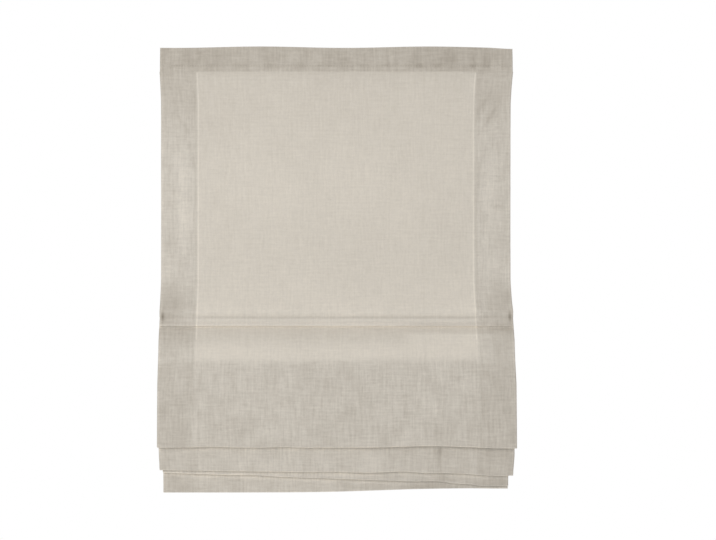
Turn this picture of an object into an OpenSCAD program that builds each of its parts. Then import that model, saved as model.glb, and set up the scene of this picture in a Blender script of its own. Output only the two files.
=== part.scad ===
// Roman blind in sheer linen, partly raised, hung from an aluminium head rail.
// +X runs to the right, +Y towards the wall and +Z up. The origin lies on the wall,
// midway between the two bracket screws. Drops are measured down from the heading's top.

/* [Cloth] */
// Finished width of the cloth
cloth_w = 450; // [420:1:600]
// Thickness of one layer of linen
cloth_t = 0.6; // [0.4:0.05:0.7]
// Space left between two layers that are sewn together
sewn_gap = 0.15; // [0.1:0.01:0.2]
// Width of the turned side hems
side_hem_w = 46; // [20:1:60]
// Depth of the turned heading
heading_h = 30; // [28:1:45]

/* [Ribs and hem] */
// Drop from the heading's top to the seam of the first rib
first_seam = 346; // [250:1:500]
// Drop from a rib's seam to the middle of its rod
rib_depth = 9; // [8:0.5:12]
// Diameter of the rib rods
rod_d = 3; // [2:0.1:3.4]
// Clearance round each rod in its pocket
rod_clear = 0.25; // [0.1:0.05:0.4]
// How far the rods and the hem bar stop short of the cloth's edge
rod_inset = 3; // [1:0.5:10]
// Height of the flat bar in the bottom hem
bar_h = 18; // [10:0.5:24]
// Thickness of the bar
bar_t = 3; // [2:0.1:4]
// Clearance on each side of the bar in its pocket
bar_clear = 0.25; // [0.1:0.05:0.5]

/* [Gathered folds] */
// Drop from the first seam to the second, where the raised folds gather
gather_gap = 55; // [45:1:120]
// Drop from each gathered seam to the next
seam_step = 8; // [7:0.5:12]
// Length of the front fold below the second seam
fold_1 = 111; // [80:1:180]
// Length of the middle fold below the second seam
fold_2 = 145; // [120:1:220]
// Length of the back fold below the second seam
fold_3 = 152; // [125:1:230]
// Length of the bottom flap below the second seam
flap_l = 166; // [150:1:250]

/* [Head rail] */
// How far the rail's ends stop short of the cloth's edges
rail_inset = 5; // [3:0.5:15]
// Depth of the rail from front to back
rail_d = 22; // [20:0.5:30]
// Height of the rail
rail_h = 24; // [23:0.5:27]
// Thickness of the rail's walls
rail_wall = 1.4; // [1:0.1:2]
// Width of the inward lips along the rail's top and bottom slots
rail_lip = 4; // [3:0.1:5]
// Depth of the clip channel in the rail's top
clip_channel = 3.7; // [3.3:0.1:5]
// How far the rail's top lies below the heading's top
rail_drop = 3; // [2:0.1:5]
// Space between the wall and the back of the rail
wall_gap = 20; // [15:0.5:40]
// Thickness of the end caps
cap_t = 2; // [1:0.1:3]
// Length of each cap's plug in the rail
plug_l = 6; // [3:0.5:6.5]

/* [Tapes] */
// Width of the hook and loop tapes
tape_w = 20; // [16:1:21]
// Thickness of each tape
tape_t = 1.2; // [0.8:0.1:2]
// Drop from the heading's top to the tapes' upper edge
tape_drop = 5; // [4:0.5:6]
// How far the loop tape stops short of the cloth's edges
tape_inset = 2; // [0.5:0.5:5]

/* [Brackets] */
// Distance from each end of the rail to the middle of its bracket
bracket_inset = 70; // [55:1:80]
// Width of the brackets
bracket_w = 25; // [20:1:30]
// Thickness of the bracket steel
bracket_t = 1.4; // [1:0.1:1.6]
// Height of the plate on the wall
bracket_h = 32; // [28:1:50]
// Diameter of the screw hole
screw_d = 5; // [3:0.1:6]
// Drop from the heading's top to the screw holes
screw_drop = 18; // [12:0.5:24]
// Width of the bracket's spring clip
clip_w = 9; // [6:0.5:14]

/* [Lift gear] */
// Distance from each edge of the cloth to its lift cord
cord_inset = 113; // [105:1:125]
// Diameter of the lift cords
cord_d = 1.6; // [1.2:0.1:1.6]
// Rim diameter of the pulleys
pulley_d = 11; // [10.6:0.1:11]
// Diameter at the bottom of the pulleys' grooves
groove_d = 7.8; // [7:0.1:7.8]
// Thickness of the pulleys
pulley_t = 3.6; // [3.2:0.1:4]
// Diameter of the pulley axles
axle_d = 2; // [1.5:0.1:3]
// Radial running clearance of wheels on their axles
run_clear = 0.05; // [0.02:0.01:0.1]
// Side clearance of wheels between their cheeks
side_clear = 0.25; // [0.1:0.05:0.4]
// Thickness of the guide's and the lock's cheeks
cheek_t = 1.4; // [1:0.1:1.4]
// Length of each cord guide along the rail
guide_l = 18; // [17:0.5:24]
// Clearance of the fittings inside the rail
fit_clear = 0.2; // [0.1:0.05:0.3]
// Outer diameter of the cord rings
ring_d = 15; // [13:0.5:15]
// Thickness of the cord rings
ring_t = 1.6; // [1.2:0.1:2]
// Space between each ring and the seam it is sewn to
ring_gap = 0.2; // [0.1:0.05:0.3]
// Diameter of the knot at the foot of each cord
knot_d = 4; // [3:0.1:4.4]

/* [Cord lock] */
// Distance from the rail's left end to the lock's roller
lock_inset = 23; // [23:0.5:26]
// Length of the lock housing along the rail
lock_l = 26; // [25:0.5:28]
// Diameter of the lock's smooth roller
roller_d = 8; // [7:0.1:8.2]
// Diameter of the knurled locking pin
pin_d = 5; // [4:0.1:5.4]
// Diameter of the locking pin's ends
trunnion_d = 2.5; // [2:0.1:3]
// How far the locking pin slides to let the cords run
pin_travel = 4; // [2:0.1:4]

/* [Hidden] */
$fn = 48;
arc_step = 20;
overlap = 0.05;

// Places across the blind, all kept from the cloth's edges
rail_l = cloth_w - 2 * rail_inset;
bracket_x = rail_l / 2 - bracket_inset;
cord_x = cloth_w / 2 - cord_inset;
roller_x = lock_inset - rail_l / 2;

// Heights and depths that the pieces share
heading_top = screw_drop;
layer = cloth_t + sewn_gap;
rail_back = -wall_gap;
rail_front = rail_back - rail_d;
rail_mid = (rail_back + rail_front) / 2;
rail_top = -rail_drop;
rail_foot = rail_top - rail_h;
web_top = rail_top - rail_wall - clip_channel;
web_foot = web_top - rail_wall;
lip_top = rail_foot + rail_wall;
hook_front = rail_front - tape_t;
loop_front = hook_front - tape_t;
heading_y = loop_front - cloth_t / 2 - layer;

// Seams of the four ribs, as [y, z] at the middle of each rib's neck
pocket_r = rod_d / 2 + rod_clear + cloth_t / 2;
shoulder = 4;
air = 0.3;
hairpin = 0.8;
hairpin_edge = layer / 2 + 2 * hairpin;
drape = pocket_r + cloth_t + air;
hem_room = 3 * cloth_t + air;
seam_back = hairpin_edge + drape + hem_room;
first_lean = 16;
first_y = heading_y + layer / 2;
gather_off = 4;
gather_y = rail_front - gather_off;
gather_z = -first_seam - gather_gap;
function gathered(i) = [gather_y + i * seam_back, gather_z - i * seam_step];
SEAMS = [[first_y, -first_seam], gathered(0), gathered(1), gathered(2)];

// Heights of the folds' lower edges
fold_1_z = gather_z - fold_1 + cloth_t / 2;
fold_2_z = gather_z - fold_2 + cloth_t / 2;
fold_3_z = gather_z - fold_3 + cloth_t / 2;
flap_z = gather_z - flap_l + cloth_t / 2;

// Bends of the hanging folds and of the bottom hem, and how far each fold swings at its foot
bend_1 = 3;
bend_2 = 2.5;
bend_3 = 2.25;
swing_1 = -1.6;
swing_2 = 0.5;
swing_3 = 2;
hem_bend = bar_t / 2 + bar_clear + cloth_t / 2;
flap_off = 5;
flap_y = gather_y + 2 * seam_back + flap_off;
bar_y = flap_y + hem_bend;
bar_foot = flap_z + cloth_t / 2 + bar_clear;
bar_top = bar_foot + bar_h;

// Heights above the bar: where its pocket closes, where the hem's turning ends, where the side hems
// stop, and where the flap starts its bend down from the gathered seams
hem_close = 6;
hem_turn = 9;
hem_stop = 11;
flap_bend = 30;
flap_bend_r = 40;

// Wheels of the lift gear: the right cord runs in front of the left one
lane_off = 3;
lane = [rail_mid + lane_off, rail_mid - lane_off];
wheel_drop = 7.5;
wheel_z = web_foot - wheel_drop;
cord_turn = 5;
pinch_gap = 0.15;
pin_x = roller_x - cord_turn - cord_d / 2 - pinch_gap - pin_d / 2;
pin_z = wheel_z - 2;
pin_way = [-0.6, 0.8];
cheek_y = rail_d / 2 - rail_wall - fit_clear;
roller_len = 2 * (cheek_y - cheek_t - side_clear);
slot_y = rail_d / 2 - rail_lip - fit_clear;
foot_top = lip_top + cheek_t;

// Slack of bores and slots round the axles and pin ends that rest in them
bore_slack = 0.04;
slot_slack = 0.2;

// How far the guide's and the lock's noses stand out below the rail, and the holes for the cords
guide_nose = 0.8;
lock_nose = 3;
lock_shift = 3;
cord_hole = 4;
cord_slot = [cord_d + 2.4, 2 * lane_off + 5];
hole_depth = 20;

LINEN = [0.81, 0.78, 0.74];
ALUMINIUM = [0.78, 0.79, 0.80];
STEEL = [0.70, 0.71, 0.72];
NYLON = [0.93, 0.93, 0.91];

// Small vector helpers for the side section, whose points are [y, z]
function unit(v) = v / norm(v);
function left_of(v) = [-v.y, v.x];
function turned(v, a) = [v.x * cos(a) - v.y * sin(a), v.x * sin(a) + v.y * cos(a)];
function reversed(list) = [for (i = [len(list) - 1 : -1 : 0]) list[i]];

// Points of the arc of radius r that rounds the corner p between its neighbours a and b
function corner_arc(a, p, b, r) =
    let (
        u = unit(a - p),
        v = unit(b - p),
        half = acos(max(-1, min(1, u * v))) / 2,
        centre = p + unit(u + v) * r / sin(half),
        start = p + u * r / tan(half) - centre,
        sweep = 180 - 2 * half,
        way = sign(cross(p - a, b - p)),
        count = max(1, ceil(sweep / arc_step))
    )
    [for (i = [0 : count]) centre + turned(start, way * sweep * i / count)];

function spot(c) = [c.x, c.y];

// A path through corners given as [y, z, radius]
function rounded(c) = [
    for (i = [0 : len(c) - 1])
        each (c[i].z == 0
            ? [spot(c[i])]
            : corner_arc(spot(c[i - 1]), spot(c[i]), spot(c[i + 1]), c[i].z))
];

// Mitred sideways direction of a path at its point i
function sideways(q, i) =
    let (
        k = max(i, 1),
        j = min(i, len(q) - 2),
        n1 = left_of(unit(q[k] - q[k - 1])),
        n2 = left_of(unit(q[j + 1] - q[j])),
        m = unit(n1 + n2)
    )
    m / (m * n1);

// Outline of a strip that lies between two sideways distances from a path
function strip(q, d1, d2) = concat(
    [for (i = [0 : len(q) - 1]) q[i] + d1 * sideways(q, i)],
    reversed([for (i = [0 : len(q) - 1]) q[i] + d2 * sideways(q, i)])
);

// Points of an arc about a centre from angle a1 to a2, as corners that need no rounding
function turn(centre, r, a1, a2) =
    let (count = ceil(abs(a2 - a1) / arc_step))
    [
        for (i = [0 : count])
            let (a = a1 + (a2 - a1) * i / count)
            concat(centre + r * [cos(a), sin(a)], 0)
    ];

// A rib hanging from a seam: cloth goes down its front, round the rod and up its back
function rib(seam, lean) =
    let (
        down = [-sin(lean), -cos(lean)],
        fore = [-cos(lean), sin(lean)],
        n = layer / 2,
        local = concat(
            [[rib_depth - shoulder, n, 1]],
            turn([rib_depth, 0], pocket_r, 115, -115),
            [[rib_depth - shoulder, -n, 1]]
        )
    )
    [for (p = local) concat(seam + p.x * down + p.y * fore, p.z)];

function rod_centre(seam, lean) = seam + rib_depth * [-sin(lean), -cos(lean)];

// The first rib, which hangs in front of the panel that goes on below its seam
function first_rib() =
    let (s = SEAMS[0], out = layer / 2 * [cos(first_lean), -sin(first_lean)])
    concat(
        [concat(s - out, 1)],
        rib(s, first_lean),
        [concat(s + out, hairpin - 0.05), [s.x + layer / 2 + 2 * hairpin, s.y, hairpin - 0.05]]
    );

// A gathered seam: cloth comes up in front of the rib, goes round it and falls behind it
function gathered_rib(i) =
    let (
        s = SEAMS[i],
        front = [s.x - hairpin_edge + hairpin, s.y - hairpin],
        back = [s.x + hairpin_edge - hairpin, s.y - hairpin]
    )
    concat(
        [[s.x - drape, s.y - rib_depth, 0]],
        turn(front, hairpin, 180, 0),
        rib(s, 0),
        turn(back, hairpin, 180, 0),
        [[s.x + drape, s.y - rib_depth, 0]]
    );

// The same seam where the side hem passes straight over it
function seam_cover(i) =
    let (s = SEAMS[i])
    [
        [s.x - drape, s.y - rib_depth, 0], [s.x - hairpin_edge, s.y, hairpin],
        [s.x + hairpin_edge, s.y, hairpin], [s.x + drape, s.y - rib_depth, 0]
    ];

// A hanging fold: down at y, round its lower edge and up again behind
function fold(y, z, r) = concat(
    [[y, z + 4 * r, 0]],
    turn([y + r, z + r], r, 180, 360),
    [[y + 2 * r, z + 4 * r, 0]]
);

// Where the cloth passes in front of a gathered seam's rib, clear of its side hems
function front_of(i) = SEAMS[i].x - drape - hem_room;

// The cloth below the first seam down to the bottom flap, with or without the ribs' pockets
function folds(ribs) = concat(
    [[front_of(1) - air, gather_z - 3, 20]],
    fold(front_of(1) + swing_1, fold_1_z, bend_1),
    ribs ? gathered_rib(1) : seam_cover(1),
    [[front_of(2), SEAMS[2].y - rib_depth, 3]],
    fold(front_of(2) + swing_2, fold_2_z, bend_2),
    ribs ? gathered_rib(2) : seam_cover(2),
    [[front_of(3), SEAMS[3].y - rib_depth, 3]],
    fold(front_of(3) + swing_3, fold_3_z, bend_3),
    ribs ? gathered_rib(3) : seam_cover(3)
);

// The whole length of cloth: heading turned to the back, body, and bottom hem round its bar
function cloth_path() = rounded(concat(
    [[heading_y + layer, -heading_h, 0]],
    turn([heading_y + layer / 2, -(cloth_t + layer) / 2], layer / 2, 0, 180),
    first_rib(),
    folds(true),
    [[flap_y, bar_top + flap_bend, flap_bend_r]],
    turn([bar_y, flap_z + hem_bend], hem_bend, 180, 360),
    [
        [bar_y + hem_bend, bar_top + bar_clear, 1],
        [flap_y + layer, bar_top + hem_close, 1],
        [flap_y + layer, bar_top + hem_turn, 0]
    ]
));

// The run of the side hems on the back of the cloth
function hem_path() = rounded(concat(
    [
        [heading_y, -heading_h - 1, 0],
        [heading_y, 1.5 - first_seam, 1.5],
        [first_y + layer / 2 + 2 * hairpin, -first_seam, 0.5]
    ],
    folds(false),
    [[flap_y, bar_top + flap_bend, flap_bend_r], [flap_y, bar_top + hem_stop, 0]]
));

// A side section drawn out along X, centred at x
module along_x(length, x = 0) {
    translate([x, 0, heading_top])
        rotate([90, 0, 90])
            linear_extrude(height = length, center = true)
                children();
}

// A rectangle of the side section between two corners
module slab(y1, y2, z1, z2) {
    translate([min(y1, y2), min(z1, z2)])
        square([abs(y2 - y1), abs(z2 - z1)]);
}

// A round bar along Y, centred at [x, y, z] with z a drop
module bar_along_y(d, length, x, y, z) {
    translate([x, y, z + heading_top])
        rotate([90, 0, 0])
            cylinder(d = d, h = length, center = true);
}

module blind_cloth() {
    color(LINEN) {
        along_x(cloth_w)
            polygon(strip(cloth_path(), -cloth_t / 2, cloth_t / 2));
        for (way = [-1, 1])
            along_x(side_hem_w, way * (cloth_w - side_hem_w) / 2)
                polygon(strip(hem_path(), cloth_t / 2 - overlap, cloth_t * 1.5));
    }
}

module tape(y_front, length) {
    along_x(length)
        slab(y_front, y_front + tape_t, -tape_drop, -tape_drop - tape_w);
}

module loop_tape() {
    color(LINEN)
        tape(loop_front, cloth_w - 2 * tape_inset);
}

module hook_tape() {
    color(NYLON)
        tape(hook_front, rail_l);
}

// Section of the rail: two walls joined by a web, with lips along both slots
module rail_section() {
    for (wall = [rail_front, rail_back - rail_wall])
        slab(wall, wall + rail_wall, rail_top, rail_foot);
    for (edge = [rail_top - rail_wall, rail_foot]) {
        slab(rail_front, rail_front + rail_lip, edge, edge + rail_wall);
        slab(rail_back, rail_back - rail_lip, edge, edge + rail_wall);
    }
    slab(rail_front, rail_back, web_top, web_foot);
}

module head_rail() {
    color(ALUMINIUM)
        along_x(rail_l)
            rail_section();
}

// End cap: a plate over the rail's end with a hollow plug in its cord channel
module end_cap(way) {
    plug_y = cheek_y;
    color(NYLON) {
        along_x(cap_t, way * (rail_l + cap_t) / 2)
            slab(rail_front, rail_back, rail_top, rail_foot);
        along_x(plug_l, way * (rail_l - plug_l) / 2)
            difference() {
                slab(rail_mid - plug_y, rail_mid + plug_y, web_foot - fit_clear, lip_top + fit_clear);
                slab(
                    rail_mid - plug_y + cap_t, rail_mid + plug_y - cap_t,
                    web_foot - fit_clear - cap_t, lip_top + fit_clear
                );
            }
    }
}

// Bracket: plate on the wall, arm over the rail, fixed tongue in front and spring clip behind
module bracket(way) {
    x = way * bracket_x;
    arm_top = rail_top + bracket_t;
    lip_foot = rail_top - rail_wall;
    tongue_y = rail_front + rail_lip + fit_clear;
    clip_y = rail_back - rail_lip - 1.5 * fit_clear;
    hook_top = lip_foot - fit_clear;
    hook_foot = hook_top - bracket_t;
    reach = 1.5;
    color(STEEL)
        difference() {
            union() {
                along_x(bracket_w, x) {
                    slab(-bracket_t, 0, arm_top, arm_top - bracket_h);
                    slab(tongue_y, 0, rail_top, arm_top);
                    slab(tongue_y, tongue_y + bracket_t, hook_foot, arm_top);
                    slab(tongue_y - reach, tongue_y + bracket_t, hook_foot, hook_top);
                }
                along_x(clip_w, x) {
                    slab(clip_y - bracket_t, clip_y, hook_foot, arm_top);
                    slab(clip_y - bracket_t, clip_y + reach, hook_foot, hook_top);
                }
            }
            bar_along_y(screw_d, 4 * bracket_t, x, 0, -screw_drop);
        }
}

// Cord guide: a foot on the rail's lips, a nose in the slot and two cheeks for the pulley
module cord_guide(way, lane_y) {
    x = way * cord_x - cord_turn;
    cheek_in = pulley_t / 2 + side_clear;
    color(NYLON)
        difference() {
            union() {
                along_x(guide_l, x) {
                    slab(rail_mid - cheek_y, rail_mid + cheek_y, lip_top, foot_top);
                    slab(rail_mid - slot_y, rail_mid + slot_y, rail_foot - guide_nose, foot_top);
                }
                for (side = [-1, 1])
                    cheek(x, lane_y + side * (cheek_in + cheek_t / 2), lip_top);
            }
            bar_along_y(axle_d + bore_slack, 4 * pulley_d, x, rail_mid, wheel_z);
            translate([way * cord_x, lane_y, rail_foot + heading_top])
                cylinder(d = cord_hole, h = hole_depth, center = true);
        }
}

// One cheek of the guide: a post with a round head about the axle
module cheek(x, y, foot) {
    head_r = axle_d / 2 + 1.6;
    translate([x, y, heading_top])
        rotate([90, 0, 0])
            linear_extrude(height = cheek_t, center = true) {
                translate([0, wheel_z])
                    circle(r = head_r);
                translate([-head_r, foot])
                    square([2 * head_r, wheel_z - foot]);
            }
}

// Grooved pulley with its bore, turned about Y
module pulley(way, lane_y) {
    rim = pulley_d / 2;
    root = groove_d / 2;
    half = pulley_t / 2;
    rim_t = 0.35;
    root_half = 1.1;
    color(NYLON)
        translate([way * cord_x - cord_turn, lane_y, wheel_z + heading_top])
            rotate([90, 0, 0])
                rotate_extrude()
                    polygon([
                        [axle_d / 2 + run_clear, -half], [rim, -half], [rim, rim_t - half],
                        [root, -root_half], [root, root_half], [rim, half - rim_t], [rim, half],
                        [axle_d / 2 + run_clear, half]
                    ]);
}

module pulley_axle(way, lane_y) {
    color(STEEL)
        bar_along_y(
            axle_d, pulley_t + 2 * (side_clear + cheek_t), way * cord_x - cord_turn, lane_y, wheel_z
        );
}

// Cord lock: two cheeks on a foot, with the roller's bores and slanted slots for the pin
module lock_housing() {
    mid_x = roller_x - lock_shift;
    cheek_top = web_foot - fit_clear;
    color(NYLON)
        difference() {
            along_x(lock_l, mid_x) {
                slab(rail_mid - cheek_y, rail_mid + cheek_y, lip_top, foot_top);
                slab(rail_mid - slot_y, rail_mid + slot_y, rail_foot - lock_nose, foot_top);
                for (side = [-1, 1])
                    slab(
                        rail_mid + side * cheek_y, rail_mid + side * (cheek_y - cheek_t),
                        lip_top, cheek_top
                    );
            }
            bar_along_y(axle_d + bore_slack, 2 * rail_d, roller_x, rail_mid, wheel_z);
            for (t = [0, pin_travel])
                bar_along_y(
                    trunnion_d + slot_slack, 2 * rail_d,
                    pin_x + t * pin_way.x, rail_mid, pin_z + t * pin_way.y
                );
            pin_slot();
            translate([roller_x - cord_turn, rail_mid, rail_foot + heading_top])
                cube([cord_slot.x, cord_slot.y, hole_depth], center = true);
        }
}

// Straight middle of the slanted slot between its two round ends
module pin_slot() {
    angle = atan2(pin_way.y, pin_way.x);
    translate([pin_x, rail_mid, pin_z + heading_top])
        rotate([0, -angle, 0])
            translate([0, -rail_d, -(trunnion_d + slot_slack) / 2])
                cube([pin_travel, 2 * rail_d, trunnion_d + slot_slack]);
}

module lock_roller() {
    color(NYLON)
        difference() {
            bar_along_y(roller_d, roller_len, roller_x, rail_mid, wheel_z);
            bar_along_y(axle_d + 2 * run_clear, 2 * roller_len, roller_x, rail_mid, wheel_z);
        }
}

module lock_axle() {
    color(STEEL)
        bar_along_y(axle_d, 2 * cheek_y, roller_x, rail_mid, wheel_z);
}

// Knurled locking pin: a toothed barrel with a plain end in each slot
module lock_pin() {
    teeth = 20;
    tooth = 0.25;
    color(STEEL) {
        translate([pin_x, rail_mid, pin_z + heading_top])
            rotate([90, 0, 0])
                linear_extrude(height = roller_len, center = true)
                    polygon([
                        for (i = [0 : 2 * teeth - 1])
                            (pin_d / 2 - (i % 2) * tooth) * [cos(180 * i / teeth), sin(180 * i / teeth)]
                    ]);
        bar_along_y(trunnion_d, 2 * cheek_y, pin_x, rail_mid, pin_z);
    }
}

// Points over a wheel at x, from angle a1 to a2
function over_wheel(x, lane_y, a1, a2) = [
    for (a = [a1 : 30 : a2])
        [x + cord_turn * cos(a), lane_y, wheel_z + cord_turn * sin(a)]
];

// Shares of the way at which a cord leans from its knot back into the eyes of the upper rings
LEAN_IN = [[0, 0], [0.28, 0.19], [0.56, 0.375], [0.85, 0.625], [1, 0.94]];

// A cord's route: from its knot up through the rings, over its pulley and over the lock's roller
function cord_route(way, lane_y) =
    let (
        x = way * cord_x,
        foot = [SEAMS[3].x, knot_z() + cord_d],
        eye_y = ring_y(1) + ring_d / 4,
        climb = ring_z(1) - ring_z(3)
    )
    concat(
        [for (f = LEAN_IN) [x, foot.x + f.x * (eye_y - foot.x), foot.y + f.y * climb]],
        [[x, eye_y, -first_seam], [x, lane_y, rail_foot - hole_depth]],
        over_wheel(x - cord_turn, lane_y, 0, 90),
        over_wheel(roller_x, lane_y, 90, 180),
        [[roller_x - cord_turn, lane_y, rail_foot - 1]]
    );

// Tube of eight sides swept along a route that stays nearly square to Y
module tube(route) {
    sides = 8;
    last = len(route) - 1;
    rings = [
        for (i = [0 : last])
            let (
                t = unit(route[min(i + 1, last)] - route[max(i - 1, 0)]),
                u = unit(cross([0, 1, 0], t)),
                v = cross(t, u)
            )
            for (k = [0 : sides - 1])
                route[i] + cord_d / 2 * (cos(360 * k / sides) * u + sin(360 * k / sides) * v)
    ];
    walls = [
        for (i = [0 : last - 1])
            for (k = [0 : sides - 1])
                let (n = (k + 1) % sides)
                [i * sides + k, (i + 1) * sides + k, (i + 1) * sides + n, i * sides + n]
    ];
    start = [for (k = [0 : sides - 1]) k];
    end = [for (k = [sides - 1 : -1 : 0]) last * sides + k];
    polyhedron(points = rings, faces = concat(walls, [start, end]));
}

// A cord with the knot that ties it over the lowest ring's wire
module lift_cord(way, lane_y) {
    color(NYLON)
        translate([0, 0, heading_top]) {
            tube(cord_route(way, lane_y));
            difference() {
                translate([way * cord_x, SEAMS[3].x, knot_z()])
                    sphere(d = knot_d);
                translate([way * cord_x, ring_y(3), ring_z(3)])
                    torus(ring_t + slot_slack);
            }
        }
}

module rib_rod(i) {
    centre = rod_centre(SEAMS[i], i == 0 ? first_lean : 0);
    color(NYLON)
        along_x(cloth_w - 2 * rod_inset)
            translate(centre)
                circle(d = rod_d);
}

module hem_bar() {
    color(ALUMINIUM)
        along_x(cloth_w - 2 * rod_inset) {
            slab(bar_y - bar_t / 2, bar_y + bar_t / 2, bar_foot + bar_t / 2, bar_top - bar_t / 2);
            for (z = [bar_foot + bar_t / 2, bar_top - bar_t / 2])
                translate([bar_y, z])
                    circle(d = bar_t);
        }
}

// A ring lies on its seam's back, with its front over the seam and its eye level
function ring_y(i) =
    i == 0 ? heading_y + cloth_t / 2 + ring_gap + ring_d / 2 : SEAMS[i].x + (ring_d - ring_t) / 2;
function ring_z(i) = SEAMS[i].y + cloth_t / 2 + ring_gap + ring_t / 2;
function knot_z() = ring_z(3) + ring_t / 2 + knot_d / 8;

module torus(thickness) {
    rotate_extrude()
        translate([(ring_d - ring_t) / 2, 0])
            circle(d = thickness);
}

module cord_ring(way, i) {
    color(NYLON)
        translate([way * cord_x, ring_y(i), ring_z(i) + heading_top])
            torus(ring_t);
}

blind_cloth();
loop_tape();
hook_tape();
head_rail();
end_cap(-1);  // end_cap_left
end_cap(1);  // end_cap_right
bracket(-1);  // bracket_left
bracket(1);  // bracket_right
cord_guide(-1, lane[0]);  // cord_guide_left
cord_guide(1, lane[1]);  // cord_guide_right
pulley(-1, lane[0]);  // pulley_left
pulley(1, lane[1]);  // pulley_right
pulley_axle(-1, lane[0]);  // pulley_axle_left
pulley_axle(1, lane[1]);  // pulley_axle_right
lock_housing();
lock_roller();
lock_axle();
lock_pin();
lift_cord(-1, lane[0]);  // lift_cord_left
lift_cord(1, lane[1]);  // lift_cord_right
rib_rod(0);  // rib_rod_1
rib_rod(1);  // rib_rod_2
rib_rod(2);  // rib_rod_3
rib_rod(3);  // rib_rod_4
hem_bar();
cord_ring(-1, 0);  // ring_left_1
cord_ring(-1, 1);  // ring_left_2
cord_ring(-1, 2);  // ring_left_3
cord_ring(-1, 3);  // ring_left_4
cord_ring(1, 0);  // ring_right_1
cord_ring(1, 1);  // ring_right_2
cord_ring(1, 2);  // ring_right_3
cord_ring(1, 3);  // ring_right_4
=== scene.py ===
# %% [markdown]
# # A sheer linen roman blind, half raised
# The blind is one length of linen. It is pressed onto a head rail by hook and loop tape, falls flat
# to its first rib, and below that hangs in three gathered folds and a hemmed flap.
# The rail, the brackets and the lift gear come from the frame as they are and only get a finish
# here. Everything that is soft or sewn (cloth, hems, thread, cords) is made as a surface with numpy.

# %% The frame
import math

import bmesh
import bpy
import numpy as np
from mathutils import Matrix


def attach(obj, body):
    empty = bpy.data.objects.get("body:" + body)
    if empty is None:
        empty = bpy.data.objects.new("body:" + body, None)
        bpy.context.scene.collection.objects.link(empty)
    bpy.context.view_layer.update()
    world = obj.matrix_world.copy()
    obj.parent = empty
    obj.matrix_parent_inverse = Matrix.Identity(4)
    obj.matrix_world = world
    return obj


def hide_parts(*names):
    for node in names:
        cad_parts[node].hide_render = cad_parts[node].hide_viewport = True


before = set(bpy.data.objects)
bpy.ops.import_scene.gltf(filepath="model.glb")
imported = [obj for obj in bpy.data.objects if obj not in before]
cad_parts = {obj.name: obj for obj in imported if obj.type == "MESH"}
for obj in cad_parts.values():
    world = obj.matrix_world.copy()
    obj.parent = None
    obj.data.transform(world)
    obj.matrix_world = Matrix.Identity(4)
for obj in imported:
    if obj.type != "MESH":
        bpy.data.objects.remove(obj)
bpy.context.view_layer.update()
MM = 0.001
TOP = 18.0  # the heading's top edge above the bracket screws, in millimetres

# %% [markdown]
# ## Camera
# The photograph looks straight at the cloth from far away, so a long lens keeps the folds square.
# One picture point is 1.28 mm of cloth, which gives the width of the view and with it the lens.

# %% Camera
PICTURE_W = 716  # width of the picture in points
POINT = 1.28  # millimetres of cloth in one point
DISTANCE = 3.0  # metres from the lens to the panel
PANEL_Y = -45.0  # depth of the flat panel
MIDDLE_X, MIDDLE_DROP = 27.9, -284.8  # the place on the cloth that is in the middle of the picture
eye = bpy.data.cameras.new("eye")
eye.sensor_width = 36.0
eye.lens = eye.sensor_width * DISTANCE / (PICTURE_W * POINT * MM)
camera = bpy.data.objects.new("eye", eye)
camera.location = (MIDDLE_X * MM, PANEL_Y * MM - DISTANCE, (TOP + MIDDLE_DROP) * MM)
camera.rotation_euler = (math.radians(90), 0, 0)
bpy.context.scene.collection.objects.link(camera)
bpy.context.scene.camera = camera
print("camera: lens", round(eye.lens, 1), "mm")

# %% [markdown]
# ## Putting a surface into a mesh
# Every piece below is an array of points in millimetres and a list of faces. One helper turns them
# into a Blender object: it sets the points at the drop that they hang at, adds a flat layout (UV)
# where a pattern has to follow the cloth, and makes the piece ride on the blind.

# %% Helper: a mesh from arrays
def piece(name, points, faces, look, flat=None, marks=None, shut=False):
    """Points are (x, y, drop) in mm; a point's place is (x, y, TOP + drop) / 1000.

    Flat is the layout in mm, marks are named numbers for each point, and shut says that the piece is
    closed all round.
    """
    at = (np.asarray(points, float) + [0, 0, TOP]) * MM
    mesh = bpy.data.meshes.new(name)
    mesh.from_pydata(at.tolist(), [], [list(f) for f in faces])
    if shut:
        shell = bmesh.new()
        shell.from_mesh(mesh)
        bmesh.ops.recalc_face_normals(shell, faces=shell.faces)
        shell.to_mesh(mesh)
        shell.free()
    if flat is not None:
        corner = np.empty(len(mesh.loops), int)
        mesh.loops.foreach_get("vertex_index", corner)
        layout = mesh.uv_layers.new(name="flat")
        layout.data.foreach_set("uv", (np.asarray(flat) * MM)[corner].ravel())
    for mark, value in (marks or {}).items():
        numbers = mesh.attributes.new(mark, "FLOAT", "POINT").data
        numbers.foreach_set("value", np.asarray(value, float).ravel())
    mesh.polygons.foreach_set("use_smooth", np.ones(len(mesh.polygons), bool))
    mesh.update()
    obj = bpy.data.objects.new(name, mesh)
    bpy.context.scene.collection.objects.link(obj)
    mesh.materials.append(look)
    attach(obj, "blind")
    print(name + ":", len(at), "points,", len(mesh.polygons), "faces")
    return obj


# %% Helper: faces of a grid
def grid_faces(rows, cols, round_rows=False, round_cols=False):
    """Quads between neighbours of a grid that is stored row by row; a round side meets its start."""
    last_row, last_col = rows - (not round_rows), cols - (not round_cols)
    i, j = np.meshgrid(np.arange(last_row), np.arange(last_col), indexing="ij")
    down, along = (i + 1) % rows, (j + 1) % cols
    quads = np.stack([i * cols + j, down * cols + j, down * cols + along, i * cols + along], -1)
    return quads.reshape(-1, 4)


# %% [markdown]
# ## Shader sums
# A finish is a handful of sums on noise, waves and coordinates. The small class below lets them be
# written as sums: each operator adds one Math node, and `node` adds anything else.

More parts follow.
